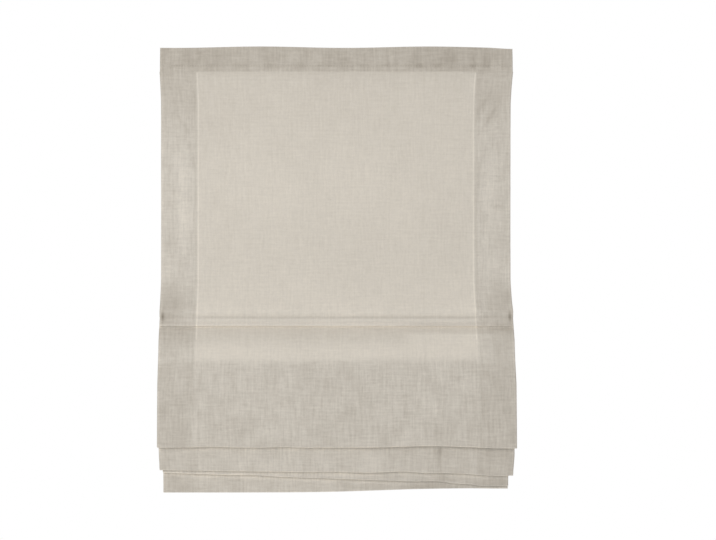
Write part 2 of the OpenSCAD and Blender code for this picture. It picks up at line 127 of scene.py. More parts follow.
# %% Helper: sums on sockets
class Wire:
    """A socket of a node tree. Operators between wires and numbers add Math nodes to that tree."""

    def __init__(self, tree, end=None):
        self.tree, self.end = tree, end

    def node(self, kind, settings=None, inputs=None, out=0):
        """Adds a node: its settings first, then a value or a wire for each input; gives one output."""
        new = self.tree.nodes.new(kind)
        for name, value in (settings or {}).items():
            setattr(new, name, value)
        for key, value in (inputs or {}).items():
            if isinstance(value, Wire):
                self.tree.links.new(value.end, new.inputs[key])
            else:
                new.inputs[key].default_value = value
        return Wire(self.tree, new.outputs[out])

    def maths(self, operation, first, second=0.0):
        """A Math node on one or two values."""
        return self.node("ShaderNodeMath", {"operation": operation}, {0: first, 1: second})

    def __add__(self, other): return self.maths("ADD", self, other)
    def __radd__(self, other): return self.maths("ADD", other, self)
    def __sub__(self, other): return self.maths("SUBTRACT", self, other)
    def __rsub__(self, other): return self.maths("SUBTRACT", other, self)
    def __mul__(self, other): return self.maths("MULTIPLY", self, other)
    def __rmul__(self, other): return self.maths("MULTIPLY", other, self)
    def __truediv__(self, other): return self.maths("DIVIDE", self, other)
    def __rtruediv__(self, other): return self.maths("DIVIDE", other, self)
    def __pow__(self, other): return self.maths("POWER", self, other)

    def sin(self): return self.maths("SINE", self)
    def size(self): return self.maths("ABSOLUTE", self)

    def ridge(self, middle, wide):
        """1 at the middle and fading to both sides: exp(-((value - middle) / wide)^2)."""
        off = (self - middle) / wide
        return self.maths("EXPONENT", off * off * -1.0)

    def within(self, low, high):
        """The value held between two limits."""
        return self.maths("MINIMUM", self.maths("MAXIMUM", self, low), high)

    def split(self):
        """The three parts of a vector."""
        parts = self.node("ShaderNodeSeparateXYZ", None, {0: self}).end.node
        return [Wire(self.tree, end) for end in parts.outputs]

    def at(self, x, y, z=0.0):
        """A vector from three values."""
        return self.node("ShaderNodeCombineXYZ", None, {0: x, 1: y, 2: z})

    def noise(self, place, scale=1.0, detail=2.0, rough=0.5):
        """Soft noise from 0 to 1 at a place."""
        return self.node("ShaderNodeTexNoise", None,
                         {"Vector": place, "Scale": scale, "Detail": detail, "Roughness": rough})

    def mix(self, share, first, second, blend="MIX"):
        """Two colours mixed by a share."""
        return self.node("ShaderNodeMix", {"data_type": "RGBA", "blend_type": blend},
                         {0: share, 6: first, 7: second}, out=2)

    def shaded(self, colour, red, green, blue):
        """A colour with each of its three parts multiplied by a level."""
        levels = self.node("ShaderNodeCombineColor", None, {0: red, 1: green, 2: blue})
        return self.mix(1.0, (*colour, 1.0), levels, "MULTIPLY")

    def tint(self, colour, level):
        """A colour made lighter or darker by a level, 1 leaving it as it is."""
        return self.shaded(colour, level, level, level)

    def layout(self):
        """The place on the piece's own flat layout: metres across (or round it) and along."""
        return self.node("ShaderNodeUVMap", {"uv_map": "flat"}).split()[:2]

    def place(self):
        """The place in the object's own frame, in metres."""
        return self.node("ShaderNodeTexCoord", out=3)

    def bump(self, height, distance, strength=1.0):
        """A normal that is tilted by the slopes of a height, distance metres deep."""
        return self.node("ShaderNodeBump", None,
                         {"Height": height, "Distance": distance, "Strength": strength})


# %% Helper: a finish
def finish(name, build, behind=None, **fixed):
    """A material whose Principled inputs are fixed numbers, or come from build(wire) as a dict.

    Where behind is a colour, light also comes through from the back in that colour. How large its share
    is comes from the dict too, as Through.
    """
    made = bpy.data.materials.new(name)
    made.use_nodes = True
    tree = made.node_tree
    shader = tree.nodes["Principled BSDF"]
    for socket, value in fixed.items():
        shader.inputs[socket.replace("_", " ")].default_value = value
    w = Wire(tree)
    wires = build(w)
    if behind:
        through = w.node("ShaderNodeBsdfTranslucent", None, {"Color": (*behind, 1.0)})
        shaders = {0: wires.pop("Through"), 1: Wire(tree, shader.outputs[0]), 2: through}
        both = w.node("ShaderNodeMixShader", None, shaders)
        tree.links.new(both.end, tree.nodes["Material Output"].inputs["Surface"])
    for socket, wire in wires.items():
        tree.links.new(wire.end, shader.inputs[socket])
    print("finish:", name, len(tree.nodes), "nodes")
    return made


# %% [markdown]
# ## Lift cords
# Two thin braided cords start in a knot on the lowest ring, rise through the rings, turn over
# a pulley in the rail and run along it into the cord lock at the left end. A smooth curve
# through the route carries a round section; the braid is a pattern on the cord's own layout.

# %% Finish: braided cord
CORD_D = 1.6
STRANDS = 8  # strands round the cord, half of them each way
LAY = 2.4  # millimetres along the cord for one wave of strands


def braid(w):
    """Two crossed sets of strands: sin(around + along) and sin(around - along), the larger on top."""
    around, along = w.layout()
    turn, lay = around * (STRANDS / (CORD_D * MM)), along * (2 * math.pi / (LAY * MM))
    strands = w.maths("MAXIMUM", (turn + lay).sin(), (turn - lay).sin()) * 0.5 + 0.5
    worn = w.noise(w.at(around * 900, along * 60), 1.0, 3.0)
    tone = 0.80 + strands * 0.16 + worn * 0.10
    return {
        "Base Color": w.tint((0.83, 0.80, 0.74), tone),
        "Roughness": 0.62 + worn * 0.22,
        "Normal": w.bump(strands, 0.12 * MM),
    }


CORD = finish("braided_cord", braid, Sheen_Weight=0.15)


# %% Cords and knots
def smooth(route, step):
    """Cubic curve through the route's points with chord-length speed, sampled about every step mm.

    Between two points the curve is the sum of both places and both slopes, weighted by the four cubics
    2f^3 - 3f^2 + 1, f^3 - 2f^2 + f, 3f^2 - 2f^3 and f^3 - f^2 of the share f of the way between them.
    """
    p = np.asarray(route, float)
    t = np.concatenate([[0], np.cumsum(np.linalg.norm(np.diff(p, axis=0), axis=1))])
    slope = np.gradient(p, t, axis=0)
    at = np.linspace(0, t[-1], int(t[-1] / step) + 1)
    k = np.clip(np.searchsorted(t, at, side="right") - 1, 0, len(t) - 2)
    h = (t[k + 1] - t[k])[:, None]
    f = ((at - t[k])[:, None]) / h
    return ((2 * f**3 - 3 * f**2 + 1) * p[k] + (f**3 - 2 * f**2 + f) * h * slope[k]
            + (3 * f**2 - 2 * f**3) * p[k + 1] + (f**3 - f**2) * h * slope[k + 1])


def tube(line, radius, sides, shut=False):
    """A circle carried along a line: radius times (u cos a + v sin a), with u and v square to the line."""
    back, ahead = (np.roll(line, 1, 0), np.roll(line, -1, 0)) if shut else (
        np.vstack([line[:1], line[:-1]]), np.vstack([line[1:], line[-1:]]))
    t = ahead - back
    t /= np.linalg.norm(t, axis=1)[:, None]
    u = np.cross([0.0, 1.0, 0.02], t)
    u /= np.linalg.norm(u, axis=1)[:, None]
    v = np.cross(t, u)
    a = np.linspace(0, 2 * np.pi, sides, endpoint=False)
    ring = np.cos(a)[None, :, None] * u[:, None] + np.sin(a)[None, :, None] * v[:, None]
    points = (line[:, None] + radius * ring).reshape(-1, 3)
    faces = [list(f) for f in grid_faces(len(line), sides, shut, True)]
    if not shut:
        faces += [list(range(sides)), list(range(len(points) - 1, len(points) - sides - 1, -1))]
    far = np.concatenate([[0], np.cumsum(np.linalg.norm(np.diff(line, axis=0), axis=1))])
    flat = np.stack([np.tile(a * radius, len(line)), np.repeat(far, sides)], -1)
    return points, faces, flat


CORD_X = 112.0  # how far the cords and their rings stand from the middle
CORD_SIDES, CORD_STEP = 10, 1.2
# Depth and drop of a cord on its way up through its rings, from the knot to the first rib.
THROUGH_RINGS = [
    (-31.95, -412.8), (-32.96, -409.8), (-33.97, -406.8), (-35, -402.8), (-35.55, -397.8), (-35.55, -346),
]
MIDWAY, RAIL_DROP = -180.0, -47.0  # drops between the first ring and the rail, and below the pulley
WHEEL, WHEEL_DROP = 5.0, -17.0  # radius and middle of a cord's turn over a pulley or the lock's roller
STRAIGHT = 7.0  # from a wheel's top to the next point of the route
LOCK_X, CORD_END = -197.0, -28.0  # the roller's middle, and the drop at which a cord ends in the lock
KNOT_Y, KNOT_DROP = -32.0, -414.2
KNOT_REACH, KNOT_STRAND = 1.5, 0.7


def cord_route(x, depth):
    """Up through the rings at x, over a pulley, along the rail at a depth, and over the lock's roller.

    A turn is the wheel's middle plus its radius times (cos a, sin a), a from 0 to 90 degrees at the
    pulley and from 90 to 180 at the roller.
    """
    first_ring, first_drop = THROUGH_RINGS[-1]
    halfway = np.interp(MIDWAY, [first_drop, RAIL_DROP], [first_ring, depth])
    up = [(x, y, drop) for y, drop in THROUGH_RINGS] + [(x, halfway, MIDWAY), (x, depth, RAIL_DROP)]
    wheels = []
    for middle, start in ((x - WHEEL, 0), (LOCK_X, 90)):
        a = np.radians(start + np.array([0, 30, 60, 90]))
        round_it = [middle + WHEEL * np.cos(a), 0 * a + depth, WHEEL_DROP + WHEEL * np.sin(a)]
        wheels.append(np.stack(round_it, -1))
    level = WHEEL_DROP + WHEEL
    along = [(x - WHEEL - STRAIGHT, depth, level), (LOCK_X + STRAIGHT, depth, level)]
    return np.vstack([up, wheels[0], along, wheels[1], [LOCK_X - WHEEL, depth, CORD_END]])


def knot_line(x, y, z, reach, count):
    """Trefoil: reach / 3 times (2 + cos 3t) times (cos 2t, sin 2t) lying level, and 0.55 sin 3t up."""
    t = np.linspace(0, 2 * np.pi, count, endpoint=False)
    wide = (2 + np.cos(3 * t)) * reach / 3
    return np.stack([x + wide * np.cos(2 * t), y + wide * np.sin(2 * t), z + 0.55 * np.sin(3 * t)], -1)


for side, way, depth in (("right", 1, -34.0), ("left", -1, -28.0)):
    line = smooth(cord_route(way * CORD_X, depth), CORD_STEP)
    points, faces, flat = tube(line, CORD_D / 2, CORD_SIDES)
    cord = piece("cord_" + side, points, faces, CORD, flat, shut=True)
    twist = knot_line(way * CORD_X, KNOT_Y, KNOT_DROP, KNOT_REACH, 48)
    points, faces, flat = tube(twist, KNOT_STRAND, 8, shut=True)
    knot = piece("knot_" + side, points, faces, CORD, flat, shut=True)
    path = (line + [0, 0, TOP]) * MM
    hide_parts("lift_cord_" + side)

# %% [markdown]
# ## The cloth's side section
# Seen from the side the cloth is one line: up the heading's back, over its top, down the panel,
# round the rod of the first rib, and then down and up through the gathered folds to the hem.
# The line is drawn with corners and arcs, as a pattern cutter would mark it.

# %% Section: arcs and corners
def turn(y, z, r, start, stop, step=20):
    """Points y + r cos a, z + r sin a with a from start to stop degrees, and 0 for no more rounding."""
    a = np.radians(np.linspace(start, stop, int(np.ceil(abs(stop - start) / step)) + 1))
    return np.stack([y + r * np.cos(a), z + r * np.sin(a), 0 * a], -1)


def corner(before, at, after, r, step=20):
    """The arc of radius r that touches both sides of a corner.

    Its middle lies on the line that halves the corner, r / sin(half the angle) from the corner.
    """
    u = (before - at) / np.linalg.norm(before - at)
    v = (after - at) / np.linalg.norm(after - at)
    half = math.acos(max(-1.0, min(1.0, float(u @ v)))) / 2
    middle = at + (u + v) / np.linalg.norm(u + v) * r / math.sin(half)
    first = at + u * r / math.tan(half) - middle
    sweep = math.pi - 2 * half
    way = np.sign((at - before)[0] * (after - at)[1] - (at - before)[1] * (after - at)[0])
    a = way * np.linspace(0, sweep, int(np.ceil(math.degrees(sweep) / step)) + 1)
    return middle + np.stack([first[0] * np.cos(a) - first[1] * np.sin(a),
                              first[0] * np.sin(a) + first[1] * np.cos(a)], -1)


def drawn(*parts):
    """Joins parts of corners [y, z, radius] to one line, with each corner rounded by its radius."""
    c = np.vstack([np.atleast_2d(np.asarray(part, float)) for part in parts])
    spots, radii = c[:, :2], c[:, 2]
    return np.vstack([spots[i] if r == 0 else corner(spots[i - 1], spots[i], spots[i + 1], r)
                      for i, r in enumerate(radii)])


# %% Section: ribs and folds
CLOTH = 0.6  # thickness of the linen
LAYER = 0.75  # from one layer to the next where two are sewn together
POCKET = 2.05  # radius of a rod's pocket, to the middle of the cloth
RIB = 9.0  # from a seam down to the middle of its rod
NECK = 4.0  # from the rod's middle up to where its pocket closes
WRAP = 115  # how far the pocket goes round the rod to each side, in degrees
LEAN = 16  # how far the first rib leans forward, in degrees
HAIRPIN = 0.8  # radius of the turn over a gathered seam
DRAPE = 2.95  # from a gathered rib's middle to the cloth that hangs beside it
ROOM = 2.1  # from that cloth to the front of its fold
# The seams' places (y, drop) from the first rib down, and the folds' fronts, lower edges and radii.
SEAMS = np.array([[-45.075, -346.0], [-46.0, -401.0], [-38.975, -409.0], [-31.95, -417.0]])
FOLDS = [(-52.65, -511.7, 3.0), (-43.525, -545.7, 2.5), (-35.0, -552.7, 2.25)]
HEADING_Y, HEADING_H = -45.45, 30
FLAP_Y, FLAP_Z = -26.95, -566.7
HEM_BEND = 2.05  # radius of the bottom hem round its bar
BAR_TOP = -548.15  # drop of the bar's top edge


def rib(seam, lean):
    """Down the front of a seam, round the rod's pocket and up the back, leaning forward by lean."""
    s, c = math.sin(math.radians(lean)), math.cos(math.radians(lean))
    neck = RIB - NECK
    local = np.vstack([[neck, LAYER / 2, 1], turn(RIB, 0, POCKET, WRAP, -WRAP), [neck, -LAYER / 2, 1]])
    y = seam[0] - local[:, 0] * s - local[:, 1] * c
    z = seam[1] - local[:, 0] * c + local[:, 1] * s
    return np.stack([y, z, local[:, 2]], -1)


def fold(y, z, r):
    """Down at y, round the lower edge z with radius r, and up behind."""
    return np.vstack([[y, z + 4 * r, 0], turn(y + r, z + r, r, 180, 360, 15), [y + 2 * r, z + 4 * r, 0]])


def gathered(seam, ribbed):
    """Up to a gathered seam, round its rib or straight over it, and down again behind."""
    y, z = seam
    edge = LAYER / 2 + 2 * HAIRPIN
    feet = [[y - DRAPE, z - RIB, 0]], [[y + DRAPE, z - RIB, 0]]
    if not ribbed:
        return np.vstack([feet[0], [y - edge, z, HAIRPIN], [y + edge, z, HAIRPIN], feet[1]])
    turns = [turn(y + w * (edge - HAIRPIN), z - HAIRPIN, HAIRPIN, 180, 0, 30) for w in (-1, 1)]
    return np.vstack([feet[0], turns[0], rib(seam, 0), turns[1], feet[1]])


def hanging(ribbed):
    """The cloth below the first seam: three folds with a gathered seam after each of them."""
    fronts = SEAMS[1:, 0] - DRAPE - ROOM
    parts = [[fronts[0] - 0.3, SEAMS[1, 1] - 3, 20], fold(*FOLDS[0])]
    for i in (1, 2):
        parts += [gathered(SEAMS[i], ribbed), [fronts[i], SEAMS[i + 1, 1] - RIB, 3], fold(*FOLDS[i])]
    return parts + [gathered(SEAMS[3], ribbed), [FLAP_Y, BAR_TOP + 30, 40]]


lean = math.radians(LEAN)
out = LAYER / 2 * np.array([math.cos(lean), -math.sin(lean)])
behind_1 = SEAMS[0, 0] + LAYER / 2 + 2 * HAIRPIN
body_line = drawn(
    [HEADING_Y + LAYER, -HEADING_H, 0],
    turn(HEADING_Y + LAYER / 2, -(CLOTH + LAYER) / 2, LAYER / 2, 0, 180),
    [*(SEAMS[0] - out), 1], rib(SEAMS[0], LEAN), [*(SEAMS[0] + out), 0.75],
    [behind_1, SEAMS[0, 1], 0.75],
    *hanging(True),
    turn(FLAP_Y + HEM_BEND, FLAP_Z + HEM_BEND, HEM_BEND, 180, 360),
    [FLAP_Y + 2 * HEM_BEND, BAR_TOP + 0.25, 1], [FLAP_Y + LAYER, BAR_TOP + 6, 1],
    [FLAP_Y + LAYER, BAR_TOP + 9, 0],
)
HEM_START = HEADING_H + 1
hem_line = drawn(
    [HEADING_Y, -HEM_START, 0], [HEADING_Y, SEAMS[0, 1] + 1.5, 1.5], [behind_1, SEAMS[0, 1], 0.5],
    *hanging(False), [FLAP_Y, BAR_TOP + 11, 0],
)
print("section: body", len(body_line), "corners, side hem", len(hem_line))


# %% Section: rows of the cloth
def rows_of(line, longest, close=()):
    """Cuts straight runs into steps of at most longest mm, and closer ones where asked (from, to, step).

    Gives the distance along the cloth, the place (y, z) and the direction square to the cloth.
    """
    far = np.concatenate([[0], np.cumsum(np.linalg.norm(np.diff(line, axis=0), axis=1))])
    keep = np.concatenate([[True], np.diff(far) > 0.02])
    line, far = line[keep], far[keep]
    count = np.ceil(np.diff(far) / longest).astype(int)
    first = np.repeat(far[:-1], count)
    step = np.repeat(np.diff(far) / count, count)
    order = np.arange(count.sum()) - np.repeat(np.cumsum(count) - count, count)
    s = np.append(first + order * step, far[-1])
    for start, stop, fine in close:
        more = np.arange(start, stop, fine)
        s = np.union1d(s, more[np.abs(more[:, None] - s).min(1) > 0.4 * fine])
    y, z = np.interp(s, far, line[:, 0]), np.interp(s, far, line[:, 1])
    ty, tz = np.gradient(y, s), np.gradient(z, s)
    size = np.hypot(ty, tz)
    return s, y, z, -tz / size, ty / size


def place_of(line, y, z):
    """How far along the line it crosses the drop z, on the run that passes nearest to the depth y."""
    step = np.diff(line, axis=0)
    far = np.concatenate([[0], np.cumsum(np.hypot(step[:, 0], step[:, 1]))])
    i = np.flatnonzero((line[:-1, 1] - z) * (line[1:, 1] - z) < 0)
    t = (z - line[i, 1]) / step[i, 1]
    nearest = np.argmin(np.abs(line[i, 0] + t * step[i, 0] - y))
    return (far[i] + t * np.diff(far)[i])[nearest]


PANEL = 29.8  # cloth on the heading's back: at drop z the panel's place along the cloth is PANEL - z
FRONTS = [FOLDS[1][0], FOLDS[2][0], FLAP_Y]
# Rows lie closer on the panel, at the heading's seam, at the first rib, and where a fold peeps out.
peeping = [place_of(body_line, front, edge[1]) for front, edge in zip(FRONTS, FOLDS)]
close = [(0, 580, 7.0), (PANEL + 18, PANEL + 38, 1.7), (PANEL + 328, PANEL + 425, 1.7)]
close += [(at - 11, at + 11, 1.9) for at in peeping]
body_rows = rows_of(body_line, 9.0, close)
hem_rows = rows_of(hem_line, 6.0)
CUT_LENGTH = body_rows[0][-1]
print("cloth: cut length", round(CUT_LENGTH), "mm in", len(body_rows[0]), "rows")

# %% [markdown]
# ## How the cloth hangs
# Linen is never quite flat. The edge is drawn in beside the panel and flares where the folds hang
# free; the lower edges of the folds slope a little, each its own way; stitching gathers the heading
# and the seam into small puckers. Each of these is a formula of the place across (x), the drop (z)
# and the layer that the cloth is in, so that the side hems can follow the same hang.

# %% Hang: edges and slopes
SIDE, HEM_W = 225.0, 46.0  # half of the finished width, and the linen turned in at each side
HEM_EDGE = SIDE - HEM_W  # where the turned hem's inner edge shows through
HEADING_SEAM = -23.7  # drop of the heading's stitches
STACK_TOP = -395.0  # above this drop the cloth counts as one layer
# How far the edge of the panel and of the front fold stands out beyond SIDE, at each drop.
EDGE_Z = np.array([-520, -480, -430, -400, -375, -346, -337, -325, -300, -230, -110, -70, -50, -30, 0])
EDGE_X = np.array([5.4, 5.2, 4.8, 3.2, 2.6, 0.8, 0.9, -0.6, -2.4, -2.6, -2.5, -2.3, -1.0, 0.9, 0.5])
# For each hanging layer: how far it flares at its lowest, that drop, and how far it swings forward.
FLARE = np.array([5.4, 3.2, -5.0, -4.6])
LOWEST = np.array([-512.0, -546.0, -553.0, -567.0])
NEARER = np.array([0.0, 1.0, 3.0, 5.0])
HEM_TILT = (-1.25, 2.85)  # level of the flap's lower edge, and its fall to the left and rise to the right
FOLD_MIDDLE = FOLDS[0][0] + FOLDS[0][2]  # depth of the front fold's lower edge


def ease(v, low, high):
    """0 below low, 1 above high, and a smooth step between them."""
    t = np.clip((v - low) / (high - low), 0, 1)
    return t * t * (3 - 2 * t)


def layer_of(y, z):
    """Which hanging layer a row is in: 0 is the panel with the front fold, 3 the bottom flap.

    Two layers part at the seam between them, and lower down midway between one fold and the next.
    """
    rear = np.array([f[0] + 2 * f[2] for f in FOLDS])
    front = np.array([f[0] for f in FOLDS[1:]] + [FLAP_Y])
    low = np.clip((-420 - z) / 120, 0, 1)[:, None]
    parting = SEAMS[1:, 0] + low * ((rear + front) / 2 - SEAMS[1:, 0])
    return np.where(z < STACK_TOP, (y[:, None] > parting).sum(1), 0)


def bell(v, middle, wide):
    """1 at the middle and fading to both sides: exp(-((v - middle) / wide)^2)."""
    return np.exp(-((v - middle) / wide) ** 2)


def lower_edges(x):
    """How far the lower edge of each hanging layer lies above its level at x, in mm: one row per layer.

    Each row is a slope, a few bells where the edge is drawn up, and smooth steps where it drops again.
    """
    return np.stack([
        1.9 * bell(x, 118, 48) + 1.1 * bell(x, -155, 22) + 1.0 * bell(x, -68, 16) - 1.0 * ease(x, 165, 205),
        1.5 - 0.0138 * x + 2.4 * bell(x, 83, 28) + 1.0 * bell(x, 0, 22) + 1.2 * bell(x, 142, 26)
        - 1.4 * ease(x, 165, 200) + 0.7 * ease(x, 208, 225),
        -0.0346 * x + 1.0 * bell(x, -108, 22) + 1.4 * bell(x, 130, 20)
        - 0.9 * ease(x, 140, 155) - 1.7 * ease(x, 176, 190) + 0.9 * ease(x, 195, 215),
        HEM_TILT[0] + HEM_TILT[1] * np.tanh((x - 55) / 80) - 0.5 * ease(x, 170, 215),
    ])


def sway(x, y, z):
    """Shift of the cloth at x in each row of the section, in mm: sideways, to the front and up.

    Sideways: the edge's own shift times x / SIDE, and 0.6 of that on the left. Forward and up: a layer's
    swing and its lower edge's rise, growing smoothly to full at its lowest. The heading's top edge also
    rises and falls by a cosine.
    """
    k = layer_of(y, z)
    depth = ease(-z, 412, -LOWEST[k])[:, None]
    loose = np.interp(z, EDGE_Z, EDGE_X)[:, None]
    back = ((k > 0) | ((z < STACK_TOP) & (y > FOLD_MIDDLE)))[:, None]
    drawn_back = 2.2 * ease(-z, 515, 546)[:, None] * (k == 1)[:, None]
    pull = np.where(back, FLARE[k][:, None] * depth - drawn_back, loose)
    dx = pull * x / SIDE * np.where(x > 0, 1.0, 0.6)
    crest = 0.4 + 0.9 * np.cos(2 * np.pi * (x + 97) / 215) - 1.3 * ease(x, 190, SIDE)
    dz = lower_edges(x)[k] * depth + crest * ease(z, -28, -2)[:, None]
    return dx, NEARER[k][:, None] * depth, dz


rises = np.ptp(lower_edges(np.linspace(-SIDE, SIDE, 91)), axis=1)
print("lower edges go up and down by", np.round(rises, 1), "mm")

# %% Hang: waves, puckers and creases
WAVES = np.random.default_rng(7).uniform(0, 2 * np.pi, (2, 18))  # slant and phase of each wave
# Where the heading's stitches draw the cloth in, and how deep each pucker is.
PUCKERS = np.array([-207, -183, -158, -121, -85, -44, -7, 32, 68, 106, 129, 146, 175, 191, 214.0])
DEEP = np.array([0.3, 0.3, 0.3, 0.4, 0.3, 0.5, 0.3, 0.4, 0.3, 1.0, 0.9, 0.3, 0.9, 0.6, 0.3])


def ripple(x, z):
    """Sum of 18 slanted waves of 30 to 170 mm, each as high as its length / 60, divided by 5."""
    long = np.geomspace(30, 170, 18)
    lean = 0.9 * np.sin(WAVES[0])
    phase = (x[..., None] * np.cos(lean) + 0.55 * z[..., None] * np.sin(lean)) * 2 * np.pi / long
    return (long / 60 * np.sin(phase + WAVES[1])).sum(-1) / 5


def crease(x, z, x1, z1, x2, z2, wide):
    """A ridge of height 1 along the straight line between two places, fading past its ends."""
    run = math.hypot(x2 - x1, z2 - z1)
    along = ((x - x1) * (x2 - x1) + (z - z1) * (z2 - z1)) / run
    beside = ((x - x1) * (z2 - z1) - (z - z1) * (x2 - x1)) / run
    past = np.maximum(np.maximum(-along, along - run), 0)
    return np.exp(-(beside / wide) ** 2 - (past / (2 * wide)) ** 2)


def puckers(x, z, lean, wide):
    """The deepest pucker at a place: its depth times a bell across, leaning over away from the seam."""
    beside = (x - lean * (z - HEADING_SEAM))[..., None]
    return (DEEP * bell(beside, PUCKERS, wide)).max(-1)


def gathers(x):
    """Uneven waves of cloth gathered on the first seam, about 14 mm each, from -1 to 1."""
    return np.sin(2 * np.pi * x / 14 + 1.2 * np.sin(x / 23))


# Creases of the hems: from (x, z) to (x, z), half width, height.
CREASES = [
    (188, -102, 202, -77, 2.6, 0.8), (196, -66, 214, -52, 3.0, 0.5), (183, -140, 190, -112, 3.0, 0.4),
    (-205, -88, -190, -110, 3.0, 0.4),
]


def lift(x, y, z, ny):
    """How far each point stands off the plain section towards the front, in mm.

    The sum of waves on the panel and on the front fold, two bulges of the heading between its puckers,
    the gathers over the first seam, a belly under its rib, the creases, the hem's edge and a pinch.
    """
    k = layer_of(y, z)[:, None]
    x, zz = np.broadcast_arrays(x[None, :], z[:, None])
    facing = (ny > 0.9)[:, None] & (k == 0)
    panel = ease(-zz, 34, 110) * ease(zz, -340, -290)
    stack = ease(-zz, 430, 470) * ease(zz, -540, -505)
    wave = ripple(x, zz) * (0.75 * panel + 0.55 * stack)
    heading = 1.15 * bell(zz, -15.0, 5.5) + 0.8 * bell(zz, -28.5, 2.6)
    uneven = 0.75 + 0.25 * np.sin(x / 3.1) * np.sin(x / 11.3)
    sewn = heading * (1 - 0.9 * puckers(x, zz, 0.25, 4.2)) * uneven
    beads = bell(zz, -340.2, 3.4) * (0.95 + 0.4 * gathers(x))
    belly = 1.6 * bell(zz, -370, 12) * (zz < -350)
    slant = sum(high * crease(x, zz, *line) for *line, high in CREASES)
    pinch = np.where(k == 1, 1.2 * crease(x, zz, 132, -515, 132.5, -536, 2.0), 0)
    hem_edge = 0.22 * bell(np.abs(x), HEM_EDGE - 1, 1.8) * ease(-zz, 33, 40) * (k == 0)
    return wave + facing * (sewn + beads + slant + belly) + hem_edge - pinch


print("hang:", WAVES.shape[1], "waves,", len(PUCKERS), "puckers,", len(CREASES), "creases")


# %% Hang: place a sheet
def hang(rows, x, off):
    """Point at (x, row): the row's section point, off mm to its back, then the sway and the lift."""
    _, y, z, ny, nz = rows
    dx, nearer, dz = sway(x, y, z)
    px = x[None, :] + dx
    py = y[:, None] + ny[:, None] * off[None, :] - nearer - lift(x, y, z, ny)
    pz = z[:, None] + nz[:, None] * off[None, :] + dz
    return np.stack([px, py, pz], -1)


# %% [markdown]
# ## Linen
# Plain weave in unbleached flax: fine threads both ways, here and there a thicker one (a slub), and
# light that comes through a single layer, with painted shade where two lie together. The pattern is
# drawn in the cloth's flat layout, in metres, so that the threads turn with every fold. Two marks on
# the points say how dark the cloth is painted there (`tone`, painted shade and light) and how much
# cloth lies behind it (`doubled`): where sheer cloth lies double, both weaves show together and the
# streaks get stronger.

# %% Finish: linen
THREAD_PITCH = 0.62  # millimetres from one thread to the next
STITCH = 3.4  # millimetres from one stitch to the next
FIRST_SEAM = -345.7  # drop of the painted shade in the first seam's groove
LINEN_TONE = (0.706, 0.660, 0.588)
THROUGH = 0.22  # share of the light that comes through from behind where the level is 1


def weave(w):
    """Threads, slubs along and across, flecks and clouds.

    Threads: sine across times sine along, both bowed by noise. Slubs: noise drawn out long along the warp
    or the weft. Flecks and clouds: fine and wide noise.
    """
    across, along = w.layout()
    thread = math.pi / (THREAD_PITCH * MM)
    bow = w.noise(w.at(across * 40, along * 40), 1.0, 1.0) * 2.5
    over = (across * thread + bow).sin() * (along * thread + bow).sin()
    wander = (w.noise(w.at(across * 30, along * 30, 9.0), 1.0, 2.0) - 0.5) * 2.2
    warp = w.noise(w.at(across * 430 + wander, along * 34), 1.0, 2.5, 0.6)
    weft = w.noise(w.at(across * 30, along * 400 + wander, 3.0), 1.0, 2.5, 0.6)
    fleck = w.noise(w.at(across * 260, along * 260, 7.0), 1.0, 3.0)
    cloud = w.noise(w.at(across * 9, along * 7, 5.0), 1.0, 2.0)
    return over, warp, weft, fleck, cloud


def second_weave(w):
    """What shows of the cloth behind: its own streaks both ways, mostly upright, and soft patches."""
    across, along = w.layout()
    upright = w.noise(w.at(across * 360, along * 30, 11.0), 1.0, 3.0, 0.6)
    level = w.noise(w.at(across * 50, along * 330, 13.0), 1.0, 2.0, 0.6)
    patch = w.noise(w.at(across * 42, along * 34, 17.0), 1.0, 2.0)
    return (upright - 0.5) * 0.33 + (level - 0.5) * 0.22 + (patch - 0.5) * 0.24


def sewn_and_shaded_lines(w):
    """1, less at needle holes, with painted shade in the first seam's groove and over a cord behind the
    cloth;
    a hem's edge gets a painted highlight with painted shade at its side.

    Each line is a bell across it; the needle holes also go up and down by a sine along the seam.
    """
    across, along = w.layout()
    side = across.size()
    sheet = w.maths("LESS_THAN", side, (SIDE + 0.2) * MM)
    needle = 0.6 + 0.4 * (across * (2 * math.pi / (STITCH * MM))).sin()
    holes = along.ridge((PANEL - HEADING_SEAM) * MM, 0.7 * MM) * needle
    inner = 1.0 - 0.75 * w.maths("GREATER_THAN", side, HEM_EDGE * MM)
    seam = along.ridge((PANEL - FIRST_SEAM) * MM, 1.9 * MM) * inner
    above = w.maths("LESS_THAN", along, (PANEL + 400) * MM)
    light = side.ridge((HEM_EDGE - 1.4) * MM, 0.8 * MM) * (0.025 + 0.115 * above)
    dark = side.ridge((HEM_EDGE + 1.3) * MM, 1.0 * MM) * above * 0.04
    stronger = 0.015 + 0.03 * along.ridge((PANEL + 415) * MM, 14 * MM)
    cord = side.ridge((CORD_X + 0.6) * MM, 1.9 * MM) * stronger
    panel = w.maths("GREATER_THAN", along, (PANEL + 32) * MM)
    return ((light - dark - cord) * panel - holes * 0.07 - seam * (0.122 + across * 0.12)) * sheet + 1.0


# Painted shade along creases in the heading and the hems: from (x, z) to (x, z), half width, how much
# darker. Below nought a line gets a painted highlight instead.
CREASE_SHADES = [
    (150, -10, 151, -20, 6, 0.11), (189, -6, 191, -24, 3.6, 0.14), (101, -4, 106, -26, 5, 0.07),
    (91, -2, 92, -20, 5, -0.10), (201, -16, 206, -27, 4.5, -0.07), (18, -2, 24, -26, 8, -0.08),
    (190, -103, 207, -77, 2.6, 0.10), (185, -80, 199, -58, 2.4, 0.07), (187, -94, 200, -69, 2.4, -0.04),
    (201, -106, 214, -84, 3.0, -0.05), (184, -40, 184, -105, 3.0, 0.03), (186, -150, 196, -122, 2.8, 0.05),
    (-188, -112, -203, -88, 2.8, 0.07),
]


